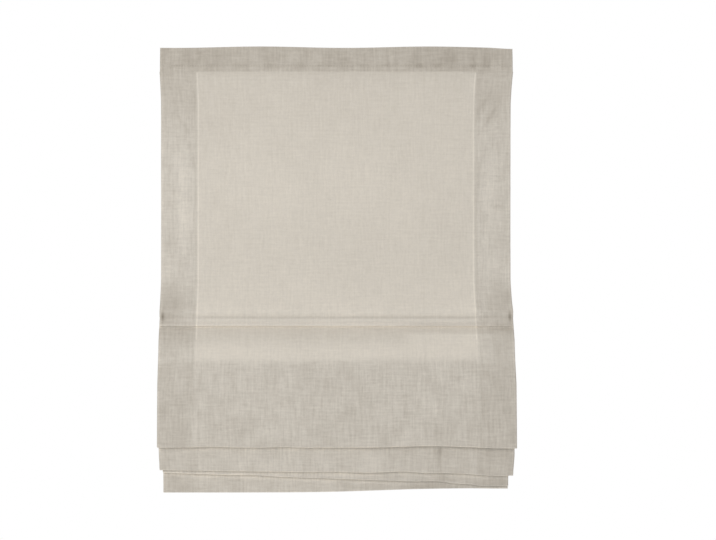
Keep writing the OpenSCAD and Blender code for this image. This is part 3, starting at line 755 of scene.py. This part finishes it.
def crease_shade_lines(w):
    """1 less the painted shade of the creases, the sum of the lines:
    each a bell beside its line times a longer bell along it.
    """
    across, along = w.layout()
    total = 0.0
    for x1, z1, x2, z2, wide, deep in CREASE_SHADES:
        run = math.hypot(x2 - x1, z2 - z1)
        c, s = (x2 - x1) / run, (z2 - z1) / run
        past = across * c - along * s - (x1 * c - (PANEL - z1) * s) * MM
        beside = across * s + along * c - (x1 * s + (PANEL - z1) * c) * MM
        total = beside.ridge(0.0, wide * MM) * past.ridge(run / 2 * MM, run / 1.7 * MM) * deep + total
    return 1.0 - total


def painted_light_down_the_panel(w):
    """Painted light down the panel: darkest under the heading, lighter half way, lightest above its first
    seam.

    With t from 0 to 1 down the panel the level is 0.968 + 0.082 t^4, and a soft hump half way up.
    """
    along = w.layout()[1]
    rise = ((along - (PANEL + 36) * MM) / (306 * MM)).within(0.0, 1.0) ** 4 * 0.082
    return rise + along.ridge((PANEL + 165) * MM, 70 * MM) * 0.032 + 0.968


def linen_parts(w):
    """Level = (1 + threads + the weave behind + clouds) times the tone (painted shade and light), the lines
    (partly painted shade and highlight) and the painted light down the panel.

    The share that comes through is THROUGH times the level. The front's colour is level times
    (1 - THROUGH) / (1 - share), so that both parts together go with the level. Where the level is low
    the front gets warmer: green loses 0.105 and blue 0.23 of the missing level.
    """
    over, warp, weft, fleck, cloud = weave(w)
    tone = w.node("ShaderNodeAttribute", {"attribute_name": "tone"}, out=2)
    doubled = w.node("ShaderNodeAttribute", {"attribute_name": "doubled"}, out=2)
    thread = over * 0.03 + (warp - 0.5) * 0.17 + (weft - 0.5) * 0.14 + (fleck - 0.5) * 0.14
    seen = 1.0 + thread * (1.0 + doubled * 0.3) + second_weave(w) * doubled + (cloud - 0.5) * 0.09
    level = seen * tone * sewn_and_shaded_lines(w) * crease_shade_lines(w) * painted_light_down_the_panel(w)
    deeper = (1.0 - level).within(0.0, 1.0)
    share = level * THROUGH
    front = level * (1 - THROUGH) / (1.0 - share)
    green, blue = front * (1.0 - deeper * 0.105), front * (1.0 - deeper * 0.23)
    return {
        "Base Color": w.shaded(LINEN_TONE, front, green, blue),
        "Roughness": 0.82 + fleck * 0.16,
        "Normal": w.bump(over * 0.5 + (warp - 0.5) * 1.6 + (weft - 0.5) * 1.6, 0.10 * MM, 0.6),
        "Through": share,
    }


LINEN = finish("linen", linen_parts, behind=LINEN_TONE, Specular_IOR_Level=0.2, Sheen_Weight=0.08)


# %% [markdown]
# ## Tone of the layers: painted shade and light
# Sheer cloth looks darker where a second layer lies behind it, and here that shade is painted. So
# are painted shadows under the rib and in pinches and notches, painted highlights on gathers and
# edges, and painted light under each lower edge that lifts the shadow there. The finish lets light
# through but not sight, so these tones are formulas of the place too: each function below gives a
# factor for every point, 1 for one plain layer, and their product is the tone.

# %% Cloth: painted shade of the heading and the hems
def in_heading(z):
    """1 on the heading, 0 below it."""
    return ease(z, -32, -29.6)


def heading_tone(x, z):
    """Painted shade for its two layers and the tape and just below it, painted shade in the puckers at the
    stitches with a painted highlight on the bulge under them, and slanted streaks.
    """
    heading = in_heading(z)
    dim = 0.165 + 0.015 * ease(-x, 0, 60) + 0.03 * bell(x, 150, 40)
    tone = 1 - dim * heading - 0.03 * ease(z, -42, -31) * (1 - heading)
    sewn = 0.26 * puckers(x, z, 0.3, 4.0) * bell(z, -23.6, 2.6) - 0.04 * bell(z, -28, 2.6)
    streak = np.sin(2 * np.pi * (x - 0.35 * z) / 37 + 1.7 * np.sin(x / 29)) * bell(z, -13, 9)
    return tone * (1 - sewn) * (1 + 0.035 * streak * heading)


def in_hem(x, z):
    """1 on the side hems below the heading, 0 elsewhere."""
    return ease(np.abs(x), HEM_EDGE - 0.4, HEM_EDGE + 1.6) * (1 - in_heading(z))


def hem_tone(x, z):
    """Painted shade for the turned linen, most below the heading and over the first seam, with a painted
    highlight between.

    A painted shadow stands in the notch where the seam draws the edge in, and the edge itself gets
    painted light.
    """
    side, above = np.abs(x), ease(z, -402, -392)
    bright = 0.105 * bell(z, -195, 62) * bell(side, 197, 9)
    dim = 0.035 + 0.06 * ease(z, -115, -70) + 0.115 * bell(z, -327, 21) + 0.02 * ease(-z, 400, 420)
    dim = dim + 0.065 * ease(-z, 340, 350) * above
    dim = dim * (1 + 0.5 * (ease(side, 188, 208) - 0.5) * ease(-z, 290, 310) * above)
    notch = bell(side, 221.5, 2.0) * bell(z, -344.5, 6.2)
    return (1 + (bright - dim) * in_hem(x, z)) * (1 - 0.5 * notch) * (1 + 0.12 * ease(side, 223, 224.5))


# %% Cloth: painted shade and light of the rib, the edges and the folds
PASSING = np.array([-357.5, -512.5, -547.0, -554.0])  # drop at which the edge in front crosses each layer
# Painted light on each layer just below the edge in front, lifting the shadow there: everywhere, more to
# the left, more at the right hem, and more at a spot of the right side.
EDGE_LIGHT = np.array([
    [0.34, 0.19, 0.27, 0.31], [0, 0.14, 0.05, 0.05], [0, 0.04, 0.09, 0.07], [0, 0, 0.10, 0.12],
])


def rib_tone(x, y, z, ny, k):
    """Painted highlight and shade on the gathers over the seam, a little painted light on the rib itself
    with painted shade on its lower part on the right, and its painted shadow below: short on the right,
    long on the left.
    """
    right = ease(x, 80, 102)
    beads = 1 + 0.035 * (0.1 + 0.5 * gathers(x)) * bell(z, -339.5, 3.2)
    ribbed = (ny > 0.3) & (z < -346.5) & (z > -358) & (y < -45.3)
    strip = 1.02 - 0.09 * right * ease(-z, 351.5, 354)
    fading = right * ease(z, -369, -363) + (1 - right) * ease(z, -390, -364)
    under = 0.105 * fading * ease(-z, 350, 357)
    return beads * np.where(ribbed, strip, 1 - under * (k == 0))


def edge_tone(x, y, z, ny, k):
    """Painted light on the turned underside of the rib and the folds, and on the layer behind each lower
    edge, which lifts the shadows there.

    Behind an edge it is the strength for that layer times a bell about the drop where the edge passes.
    """
    turned = ((z < -355) & (z > -362)) | (z < -500)
    underside = ease(0.95 - np.abs(ny), 0, 0.3) * turned
    edges = lower_edges(x[0])
    passing = PASSING[:, None] + np.vstack([0 * edges[:1], edges[:3] - edges[1:]])
    base, left, hem, spot = EDGE_LIGHT[:, k]
    painted_glow = base + left * ease(-x, -60, 40) + hem * ease(x, 165, 190) + spot * bell(x, 162, 16)
    behind = (k > 0) | (y > PANEL_Y)
    below = painted_glow * bell(z, passing[k[:, 0]], 3.2) * behind
    return (1 + np.where(z > -362, 0.58, 0.42) * underside) * (1 + below)


def pinch_tone(x, z, k):
    """Painted shade in a pinch of the middle fold, and in a hollow of the back one with a painted highlight
    on its side.
    """
    middle = 0.09 * crease(x, z, 132, -513, 132.6, -538, 1.5)
    back = 0.07 * crease(x, z, 137, -541, 138, -556, 5) - 0.04 * crease(x, z, 155, -541, 158, -552, 6)
    return 1 - middle * (k == 1) - back * (k == 2)


def layer_tone(x, z, k):
    """Painted shade where folds hang behind the panel, with a little painted light just above the front
    fold's lower edge, and more painted shade in each layer behind, most of all to the right.
    """
    dusk = ease(x, 50, 150)
    begins = -z - 2.5 * ease(x, 60, -20)
    painted_shade_behind = 0.012 * ease(-z, 352, 370) + 0.09 * ease(begins, 393, 406) - 0.015 * bell(z, -507, 3)
    flap = 0.91 - 0.05 * ease(x, -40, 40) - 0.12 * dusk
    return np.choose(k, [1 - painted_shade_behind, 0.925 - 0.055 * dusk, 0.915 - 0.07 * dusk, flap])


def shade(x, y, z, ny):
    """Tone, painted shade and light: the product of the factors above. Doubled: 1 where a second layer lies
    behind, 0 where none.
    """
    k, y, ny = layer_of(y, z)[:, None], y[:, None], ny[:, None]
    x, z = np.broadcast_arrays(x[None, :], z[:, None])
    tone = heading_tone(x, z) * hem_tone(x, z) * pinch_tone(x, z, k) * layer_tone(x, z, k)
    tone = tone * rib_tone(x, y, z, ny, k) * edge_tone(x, y, z, ny, k)
    folds = np.where(k == 0, ease(-z, 396, 408), 1.0)
    doubled = np.maximum(in_heading(z), np.maximum(0.8 * in_hem(x, z), folds))
    return {"tone": tone, "doubled": doubled}


# %% Cloth: the sheet
# Columns lie closer at the notches of the edges and at the pinch of the middle fold.
finer = [-223.8, -222, -219, 131, 132.3, 133.6, 219, 222, 223.8]
columns = np.union1d(np.linspace(-SIDE, SIDE, 97), finer)
s, y, z, ny, _ = body_rows
points = hang(body_rows, columns, 0 * columns)
flat = np.stack(np.broadcast_arrays(columns[None, :], s[:, None]), -1).reshape(-1, 2)
cloth = piece("linen_cloth", points.reshape(-1, 3), grid_faces(len(s), len(columns)), LINEN, flat,
              shade(columns, y, z, ny))
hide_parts("blind_cloth")


def thicken(obj, thick):
    """Gives a sheet its thickness, half to each side."""
    solid = obj.modifiers.new("thickness", "SOLIDIFY")
    solid.thickness, solid.offset = thick * MM, 0.0
    return obj


thicken(cloth, CLOTH)

# %% Cloth: side hems
TURN = 0.33  # radius of the turned edge
for name, way in (("left", -1), ("right", 1)):
    a = np.linspace(0, np.pi, 5)
    inward = np.linspace(4, HEM_W, 10)
    edge = np.concatenate([SIDE + TURN * np.sin(a), SIDE - inward])
    off = np.concatenate([TURN * (1 - np.cos(a)), np.full(len(inward), 2 * TURN)])
    across = np.concatenate([SIDE + TURN * a, SIDE + inward])
    s, y, z, ny, _ = hem_rows
    points = hang(hem_rows, way * edge, off)
    flat = np.stack(np.broadcast_arrays(way * across[None, :], s[:, None] + HEM_START), -1).reshape(-1, 2)
    faces = grid_faces(len(s), len(edge))
    hem = piece("side_hem_" + name, points.reshape(-1, 3), faces[:, ::-way], LINEN, flat,
                shade(way * edge, y, z, ny))
    thicken(hem, CLOTH)

CUT_LENGTH * MM

# %% [markdown]
# ## Thread
# The heading, the side hems and the bottom hem are sewn with a linen thread in a running stitch.
# Each stitch is a short bowed thread with closed ends, a few dozen faces, and a whole seam is one
# array operation: the same stitch set at every place along the seam.

# %% Finish: thread
def spun(w):
    """Twisted yarn: slanted light and dark plies with a little fuzz."""
    x, y, z = w.place().split()
    plies = ((x + z * 0.7 + y) * (2 * math.pi / (0.5 * MM))).sin()
    fuzz = w.noise(w.at(x * 900, y * 900, z * 900), 1.0, 3.0)
    return {
        "Base Color": w.tint((0.66, 0.62, 0.54), 0.86 + plies * 0.05 + fuzz * 0.22),
        "Roughness": 0.78 + fuzz * 0.2,
        "Normal": w.bump(plies + fuzz, 0.05 * MM),
    }


THREAD = finish("linen_thread", spun, Sheen_Weight=0.1, Specular_IOR_Level=0.25)


# %% Stitches
RINGS, SIDES = 5, 6  # rings of points along a stitch, and points on each ring
BOW = 0.14  # how far a stitch bows out
PROUD = 0.34  # from the middle of the cloth to the stitches of a level seam
HEM_SEAM_IN = 43.2  # from the edge of the cloth to the stitches of its side hem


def stitches(name, at, along, facing, long=2.5, thick=0.42):
    """A thin thread at each place along a seam: with t from -1 to 1 it bows out by BOW times 1 - t^2.

    Its radius is half of thick times the root of 1 - 0.75 t^2, so that it thins to its ends.
    """
    t = np.linspace(-1, 1, RINGS)
    a = np.linspace(0, 2 * np.pi, SIDES, endpoint=False)
    along = along / np.linalg.norm(along, axis=1)[:, None]
    facing = facing / np.linalg.norm(facing, axis=1)[:, None]
    beside = np.cross(along, facing)
    middle = (at[:, None] + along[:, None] * (t * long / 2)[None, :, None]
              + facing[:, None] * (BOW * (1 - t**2))[None, :, None])
    radius = (thick / 2 * np.sqrt(1 - 0.75 * t**2))[None, :, None, None]
    ring = (np.cos(a)[:, None] * beside[:, None, :] + np.sin(a)[:, None] * facing[:, None, :])[:, None]
    points = (middle[:, :, None] + radius * ring).reshape(-1, 3)
    start = RINGS * SIDES * np.arange(len(at))[:, None]
    walls = (start[:, :, None] + grid_faces(RINGS, SIDES, False, True)[None]).reshape(-1, 4)
    first = start + np.arange(SIDES)
    caps = np.concatenate([first, first + (RINGS - 1) * SIDES])
    return piece(name, points, walls.tolist() + caps.tolist(), THREAD, shut=True)


def seam_rows(line, pitch):
    """The section again, cut at even steps along its length for stitches that run down it."""
    rows = rows_of(line, 0.5)
    at = np.arange(pitch, rows[0][-1], pitch)
    return tuple(np.interp(at, rows[0], v) for v in rows)


def level_seam(name, y, z, face):
    """A seam across the cloth at one height, on the front (face -1) or on the back (face 1)."""
    x = np.arange(-SIDE + 3, SIDE - 2, STITCH)
    row = tuple(np.array([v]) for v in (0.0, y, z, 1.0, 0.0))
    at = hang(row, x, np.full(len(x), face * PROUD))[0]
    return stitches(name, at, np.gradient(at, axis=0), np.tile([0.0, face, 0.0], (len(x), 1)))


level_seam("stitch_heading", HEADING_Y, HEADING_SEAM, -1.0)
level_seam("stitch_bottom_front", FLAP_Y, BAR_TOP + 7.5, -1.0)
level_seam("stitch_bottom_back", FLAP_Y + LAYER, BAR_TOP + 7.5, 1.0)

# %% Stitches down the hems
hem_stitches = seam_rows(hem_line, STITCH)
_, y, z, ny, _ = hem_stitches
ahead = layer_of(y, z)
upright, over_rib, under_rib = ny > 0.95, z > -338, z < -366
# Which stitches show on each face, and how far that face lies behind the middle of the cloth.
SHOWN = {
    "front": (upright & (ahead == 0) & (over_rib | under_rib), -TURN),
    "back": (upright & (((ahead == 0) & over_rib) | (ahead == 3)), 3 * TURN),
}
for name, way in (("left", -1), ("right", 1)):
    for face, (keep, off) in SHOWN.items():
        rows = tuple(v[keep] for v in hem_stitches)
        at = hang(rows, np.array([way * (SIDE - HEM_SEAM_IN)]), np.array([off]))[:, 0]
        _, y, _, ny, nz = rows
        step = np.stack([0 * y, -nz, ny], -1)
        outward = np.stack([0 * y, ny, nz], -1) * np.sign(off)
        stitches("stitch_hem_%s_%s" % (name, face), at, step, outward, thick=0.34)

# %% [markdown]
# ## Rings sewn on
# Each cord ring is sewn to its seam with three turns of thread round the ring's wire and through
# the cloth. A turn is a small closed hoop: a circle carried round a circle.

# %% Ring threads
HOOP_STEPS, HOOP_SIDES, HOOP_THREAD = 20, 6, 0.24
hoops = []
for i, (seam_y, seam_z) in enumerate(SEAMS):
    y, up, reach = (-44.35, 1.3, 1.3) if i == 0 else (seam_y, 0.75, 1.75)
    turns = [(way * CORD_X, step) for way in (-1, 1) for step in (-1.1, 0.0, 1.1)]
    hoops += [(x + step, y, seam_z + up, reach, 0.25 * step) for x, step in turns]
x, y, z, reach, slant = np.array(hoops).T[:, :, None, None]
a = np.linspace(0, 2 * np.pi, HOOP_STEPS, endpoint=False)[None, :, None]
b = np.linspace(0, 2 * np.pi, HOOP_SIDES, endpoint=False)[None, None, :]
far = reach + HOOP_THREAD * np.cos(b)
px = x + HOOP_THREAD * np.sin(b) + slant * np.sin(a)
points = np.stack([px, y + far * np.cos(a), z + far * np.sin(a)], -1)
start = HOOP_STEPS * HOOP_SIDES * np.arange(len(hoops))[:, None, None]
faces = (start + grid_faces(HOOP_STEPS, HOOP_SIDES, True, True)[None]).reshape(-1, 4)
piece("ring_threads", points.reshape(-1, 3), faces, THREAD, shut=True)

# %% [markdown]
# ## Hem bar and loop tape
# The bar in the bottom hem follows the slight tilt of the flap. The loop tape on the heading's back
# is a soft woven strip with a pile, so it gets rounded edges and an uneven back. Both are a closed
# outline carried across the blind.

# %% Helper: an outline across the blind
def carried_across(name, outline, x, shift, look):
    """The outline's points (y, z) at each x, moved by shift (for y and for z), with the ends closed."""
    rows, cols = len(x), len(outline)
    y = outline[None, :, 0] + shift[0]
    z = outline[None, :, 1] + shift[1]
    points = np.stack(np.broadcast_arrays(x[:, None], y, z), -1).reshape(-1, 3)
    ends = [list(range(cols)), list(range((rows - 1) * cols, rows * cols))]
    faces = grid_faces(rows, cols, False, True).tolist() + ends
    return piece(name, points, faces, look, shut=True)


def pill(y, z, wide, tall, corner_r, step=6):
    """A rectangle with round corners: four quarter turns joined by straight sides."""
    a = np.radians(np.linspace(0, 90, step))
    cy = np.array([1, -1, -1, 1])[:, None] * (wide / 2 - corner_r)
    cz = np.array([1, 1, -1, -1])[:, None] * (tall / 2 - corner_r)
    turn_by = a[None, :] + np.radians([0, 90, 180, 270])[:, None]
    py, pz = y + cy + corner_r * np.cos(turn_by), z + cz + corner_r * np.sin(turn_by)
    return np.stack([py, pz], -1).reshape(-1, 2)


# %% Finishes: aluminium and loop tape
def brushed(w):
    """Fine lines along the length over anodised aluminium, and wider worn patches."""
    x, y, z = w.place().split()
    lines = w.noise(w.at(x * 14, y * 2600, z * 2600), 1.0, 3.0)
    worn = w.noise(w.at(x * 22, y * 70, z * 70), 1.0, 3.0)
    return {
        "Base Color": w.tint((0.76, 0.77, 0.78), 0.90 + lines * 0.16 + worn * 0.06),
        "Roughness": 0.24 + lines * 0.16 + worn * 0.14,
        "Normal": w.bump(lines, 0.03 * MM, 0.6),
    }


def pile(w):
    """Soft loops: rounded cells with painted shade away from their middles, with fine fuzz."""
    place = w.place()
    cells = w.node("ShaderNodeTexVoronoi", {"feature": "SMOOTH_F1"}, {"Vector": place, "Scale": 1500.0})
    fuzz = w.noise(place, 2600.0, 3.0)
    return {
        "Base Color": w.tint((0.82, 0.80, 0.75), 1.08 - cells * 0.42 + (fuzz - 0.5) * 0.2),
        "Roughness": 0.85 + fuzz * 0.14,
        "Normal": w.bump(fuzz - cells, 0.25 * MM),
    }


ALUMINIUM = finish("brushed_aluminium", brushed, Metallic=1.0)
PILE = finish("loop_pile", pile, Sheen_Weight=0.2, Specular_IOR_Level=0.2)

# %% Hem bar
BAR_L, BAR_T, BAR_H = 432.0, 3.0, 18.0
x = np.linspace(-BAR_L / 2, BAR_L / 2, 37)[:, None]
tilt = 2.4 * x / 220 - 0.85
forward = 0 * x - 0.985 * NEARER[3]
outline = pill(FLAP_Y + HEM_BEND, BAR_TOP - BAR_H / 2, BAR_T, BAR_H, 1.45)
bar = carried_across("bar_in_hem", outline, x[:, 0], (forward, tilt), ALUMINIUM)
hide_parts("hem_bar")

# %% Loop tape
TAPE_L, TAPE_T, TAPE_H = 446.0, 1.2, 20.0
TAPE_Y = -43.8
x = np.linspace(-TAPE_L / 2, TAPE_L / 2, 150)
outline = pill(TAPE_Y, -HEADING_H / 2, TAPE_T, TAPE_H, 0.45, 5)
after = np.roll(outline, -1, 0)
steps = np.where(np.abs(after[:, 1] - outline[:, 1]) > 5, 12, 1)  # the long sides are cut into twelve
strip = np.vstack([np.linspace(*run, endpoint=False) for run in zip(outline, after, steps)])
loops = 0.10 * np.sin(x[:, None] * 2.1 + strip[None, :, 1] * 1.7) * (strip[None, :, 0] > TAPE_Y + 0.2)
tape = carried_across("loop_strip", strip, x, (-np.abs(loops), 0 * loops), PILE)
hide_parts("loop_tape")

# %% [markdown]
# ## Finishes of the rail, brackets and lift gear
# These keep the frame's own shapes. Each finish reads Object coordinates in metres, so that its
# grain has a real size: brushed lines on the rail, zinc on the brackets, moulded nylon with fine
# flow marks, drawn fibres along the rods, milky plastic for the rings.

# %% Finishes: steel, nylon, acetal, rods, rings, hook tape
def zinc(w):
    """Zinc plate: faint crystal patches, brighter and darker, and small rubbed spots."""
    place = w.place()
    patch = w.node("ShaderNodeTexVoronoi", None, {"Vector": place, "Scale": 420.0}, out=1)
    grey = w.node("ShaderNodeSeparateColor", None, {0: patch})
    rub = w.noise(place, 160.0, 4.0)
    return {
        "Base Color": w.tint((0.70, 0.71, 0.72), 0.86 + grey * 0.10 + rub * 0.12),
        "Roughness": 0.26 + grey * 0.10 + rub * 0.2,
        "Normal": w.bump(rub, 0.02 * MM),
    }


def moulded(tone, speck, level):
    """Moulded plastic: a fine spark texture, soft flow marks and faint dust."""
    def build(w):
        place = w.place()
        spark = w.noise(place, speck, 2.0)
        flow = w.noise(place, 60.0, 3.0)
        return {
            "Base Color": w.tint(tone, 0.93 + flow * 0.10 + (spark - 0.5) * 0.06),
            "Roughness": level + (spark - 0.5) * 0.2 + flow * 0.08,
            "Normal": w.bump(spark, 0.03 * MM),
        }
    return build


def fibres(w):
    """Drawn glass fibres along the rod under a thin resin."""
    x, y, z = w.place().split()
    strand = w.noise(w.at(x * 30, y * 3000, z * 3000), 1.0, 2.0)
    return {
        "Base Color": w.tint((0.80, 0.80, 0.76), 0.86 + strand * 0.24),
        "Roughness": 0.30 + strand * 0.2,
        "Normal": w.bump(strand, 0.03 * MM),
    }


def hooks(w):
    """Rows of small hooks on a moulded band: sine across times sine up, with a pitch of 1.1 mm."""
    place = w.place()
    x, _, z = place.split()
    pitch = 2 * math.pi / (1.1 * MM)
    dots = (x * pitch).sin() * (z * pitch).sin()
    fine = w.noise(place, 900.0, 2.0)
    return {
        "Base Color": w.tint((0.84, 0.83, 0.80), 0.86 + dots * 0.10 + fine * 0.14),
        "Roughness": 0.50 + fine * 0.2,
        "Normal": w.bump(dots, 0.3 * MM),
    }


ZINC = finish("zinc_plate", zinc, Metallic=1.0)
NYLON = finish("white_nylon", moulded((0.86, 0.855, 0.83), 1400.0, 0.42))
ACETAL = finish("acetal", moulded((0.80, 0.79, 0.75), 900.0, 0.28))
FIBRES = finish("glass_fibre", fibres)
MILKY = finish("milky_plastic", moulded((0.84, 0.85, 0.83), 700.0, 0.20), Coat_Weight=0.3)
HOOKS = finish("hook_band", hooks)

# %% Finishes: on the frame's nodes
LOOKS = {
    "head_rail": ALUMINIUM, "hook_tape": HOOKS, "end_cap": NYLON, "bracket": ZINC, "cord_guide": NYLON,
    "pulley_axle": ZINC, "pulley": ACETAL, "lock_housing": NYLON, "lock_roller": ACETAL,
    "lock_axle": ZINC, "lock_pin": ZINC, "rib_rod": FIBRES, "ring": MILKY,
    "blind_cloth": LINEN, "loop_tape": PILE, "lift_cord": CORD, "hem_bar": ALUMINIUM,
}
for name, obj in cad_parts.items():
    key = max((start for start in LOOKS if name.startswith(start)), key=len)
    if not obj.material_slots:
        obj.data.materials.append(LOOKS[key])
    for held in obj.material_slots:
        held.material = LOOKS[key]
print("dressed:", len(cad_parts), "nodes")

# %% [markdown]
# ## Floor, light and white ground
# A large soft lamp stands high in front, as in a studio, and the white room gives the rest. The
# room is plain white to the eye, in reflections and through clear things, and dimmer as a light. The
# floor lies well below.

# %% White room
WORLD_LIGHT = 0.64  # strength of the white room as a light
room = bpy.data.worlds.new("room")
bpy.context.scene.world = room
room.use_nodes = True
w = Wire(room.node_tree)
rays = w.node("ShaderNodeLightPath").end.node.outputs
seen = Wire(w.tree, rays["Is Camera Ray"])
for ray in ("Is Glossy Ray", "Is Transmission Ray"):
    seen = w.maths("MAXIMUM", seen, Wire(w.tree, rays[ray]))
ground = room.node_tree.nodes["Background"]
ground.inputs["Color"].default_value = (1, 1, 1, 1)
room.node_tree.links.new((seen * (1 - WORLD_LIGHT) + WORLD_LIGHT).end, ground.inputs["Strength"])
print("room: strength", WORLD_LIGHT, "as a light")


# %% Floor
FLOOR_R, FLOOR_Z, FLOOR_SIDES = 2.6, -1.2, 64


def plain_floor(w):
    """A pale grey, a little lighter and darker by wide noise."""
    cloudy = w.noise(w.place(), 1.2, 2.0)
    return {"Base Color": w.tint((0.88, 0.88, 0.87), 0.97 + cloudy * 0.06)}


a = np.linspace(0, 2 * np.pi, FLOOR_SIDES, endpoint=False)
rim = np.stack([FLOOR_R * np.cos(a), FLOOR_R * np.sin(a), 0 * a + FLOOR_Z], -1)
disc = bpy.data.meshes.new("floor")
disc.from_pydata(rim.tolist(), [], [list(range(FLOOR_SIDES))])
floor = bpy.data.objects.new("floor", disc)
disc.materials.append(finish("pale_floor", plain_floor, Roughness=0.9))
bpy.context.scene.collection.objects.link(floor)

# %% Lamp
LAMP_AT, LAMP_AIM = np.array([-0.9, -2.1, 0.6]), np.array([0, -0.05, -0.27])
softbox = bpy.data.lights.new("softbox", "AREA")
softbox.shape, softbox.size, softbox.size_y = "RECTANGLE", 1.8, 1.2
softbox.energy = 26
lamp = bpy.data.objects.new("softbox", softbox)
lamp.location = LAMP_AT
aim = LAMP_AIM - LAMP_AT
lamp.rotation_euler = (math.acos(-aim[2] / np.linalg.norm(aim)), 0, math.atan2(aim[0], -aim[1]) + math.pi)
bpy.context.scene.collection.objects.link(lamp)
bpy.context.scene.view_settings.view_transform = "Standard"
print("lamp:", round(float(np.linalg.norm(aim)), 2), "m from the blind")

# %% The end
bpy.context.view_layer.update()
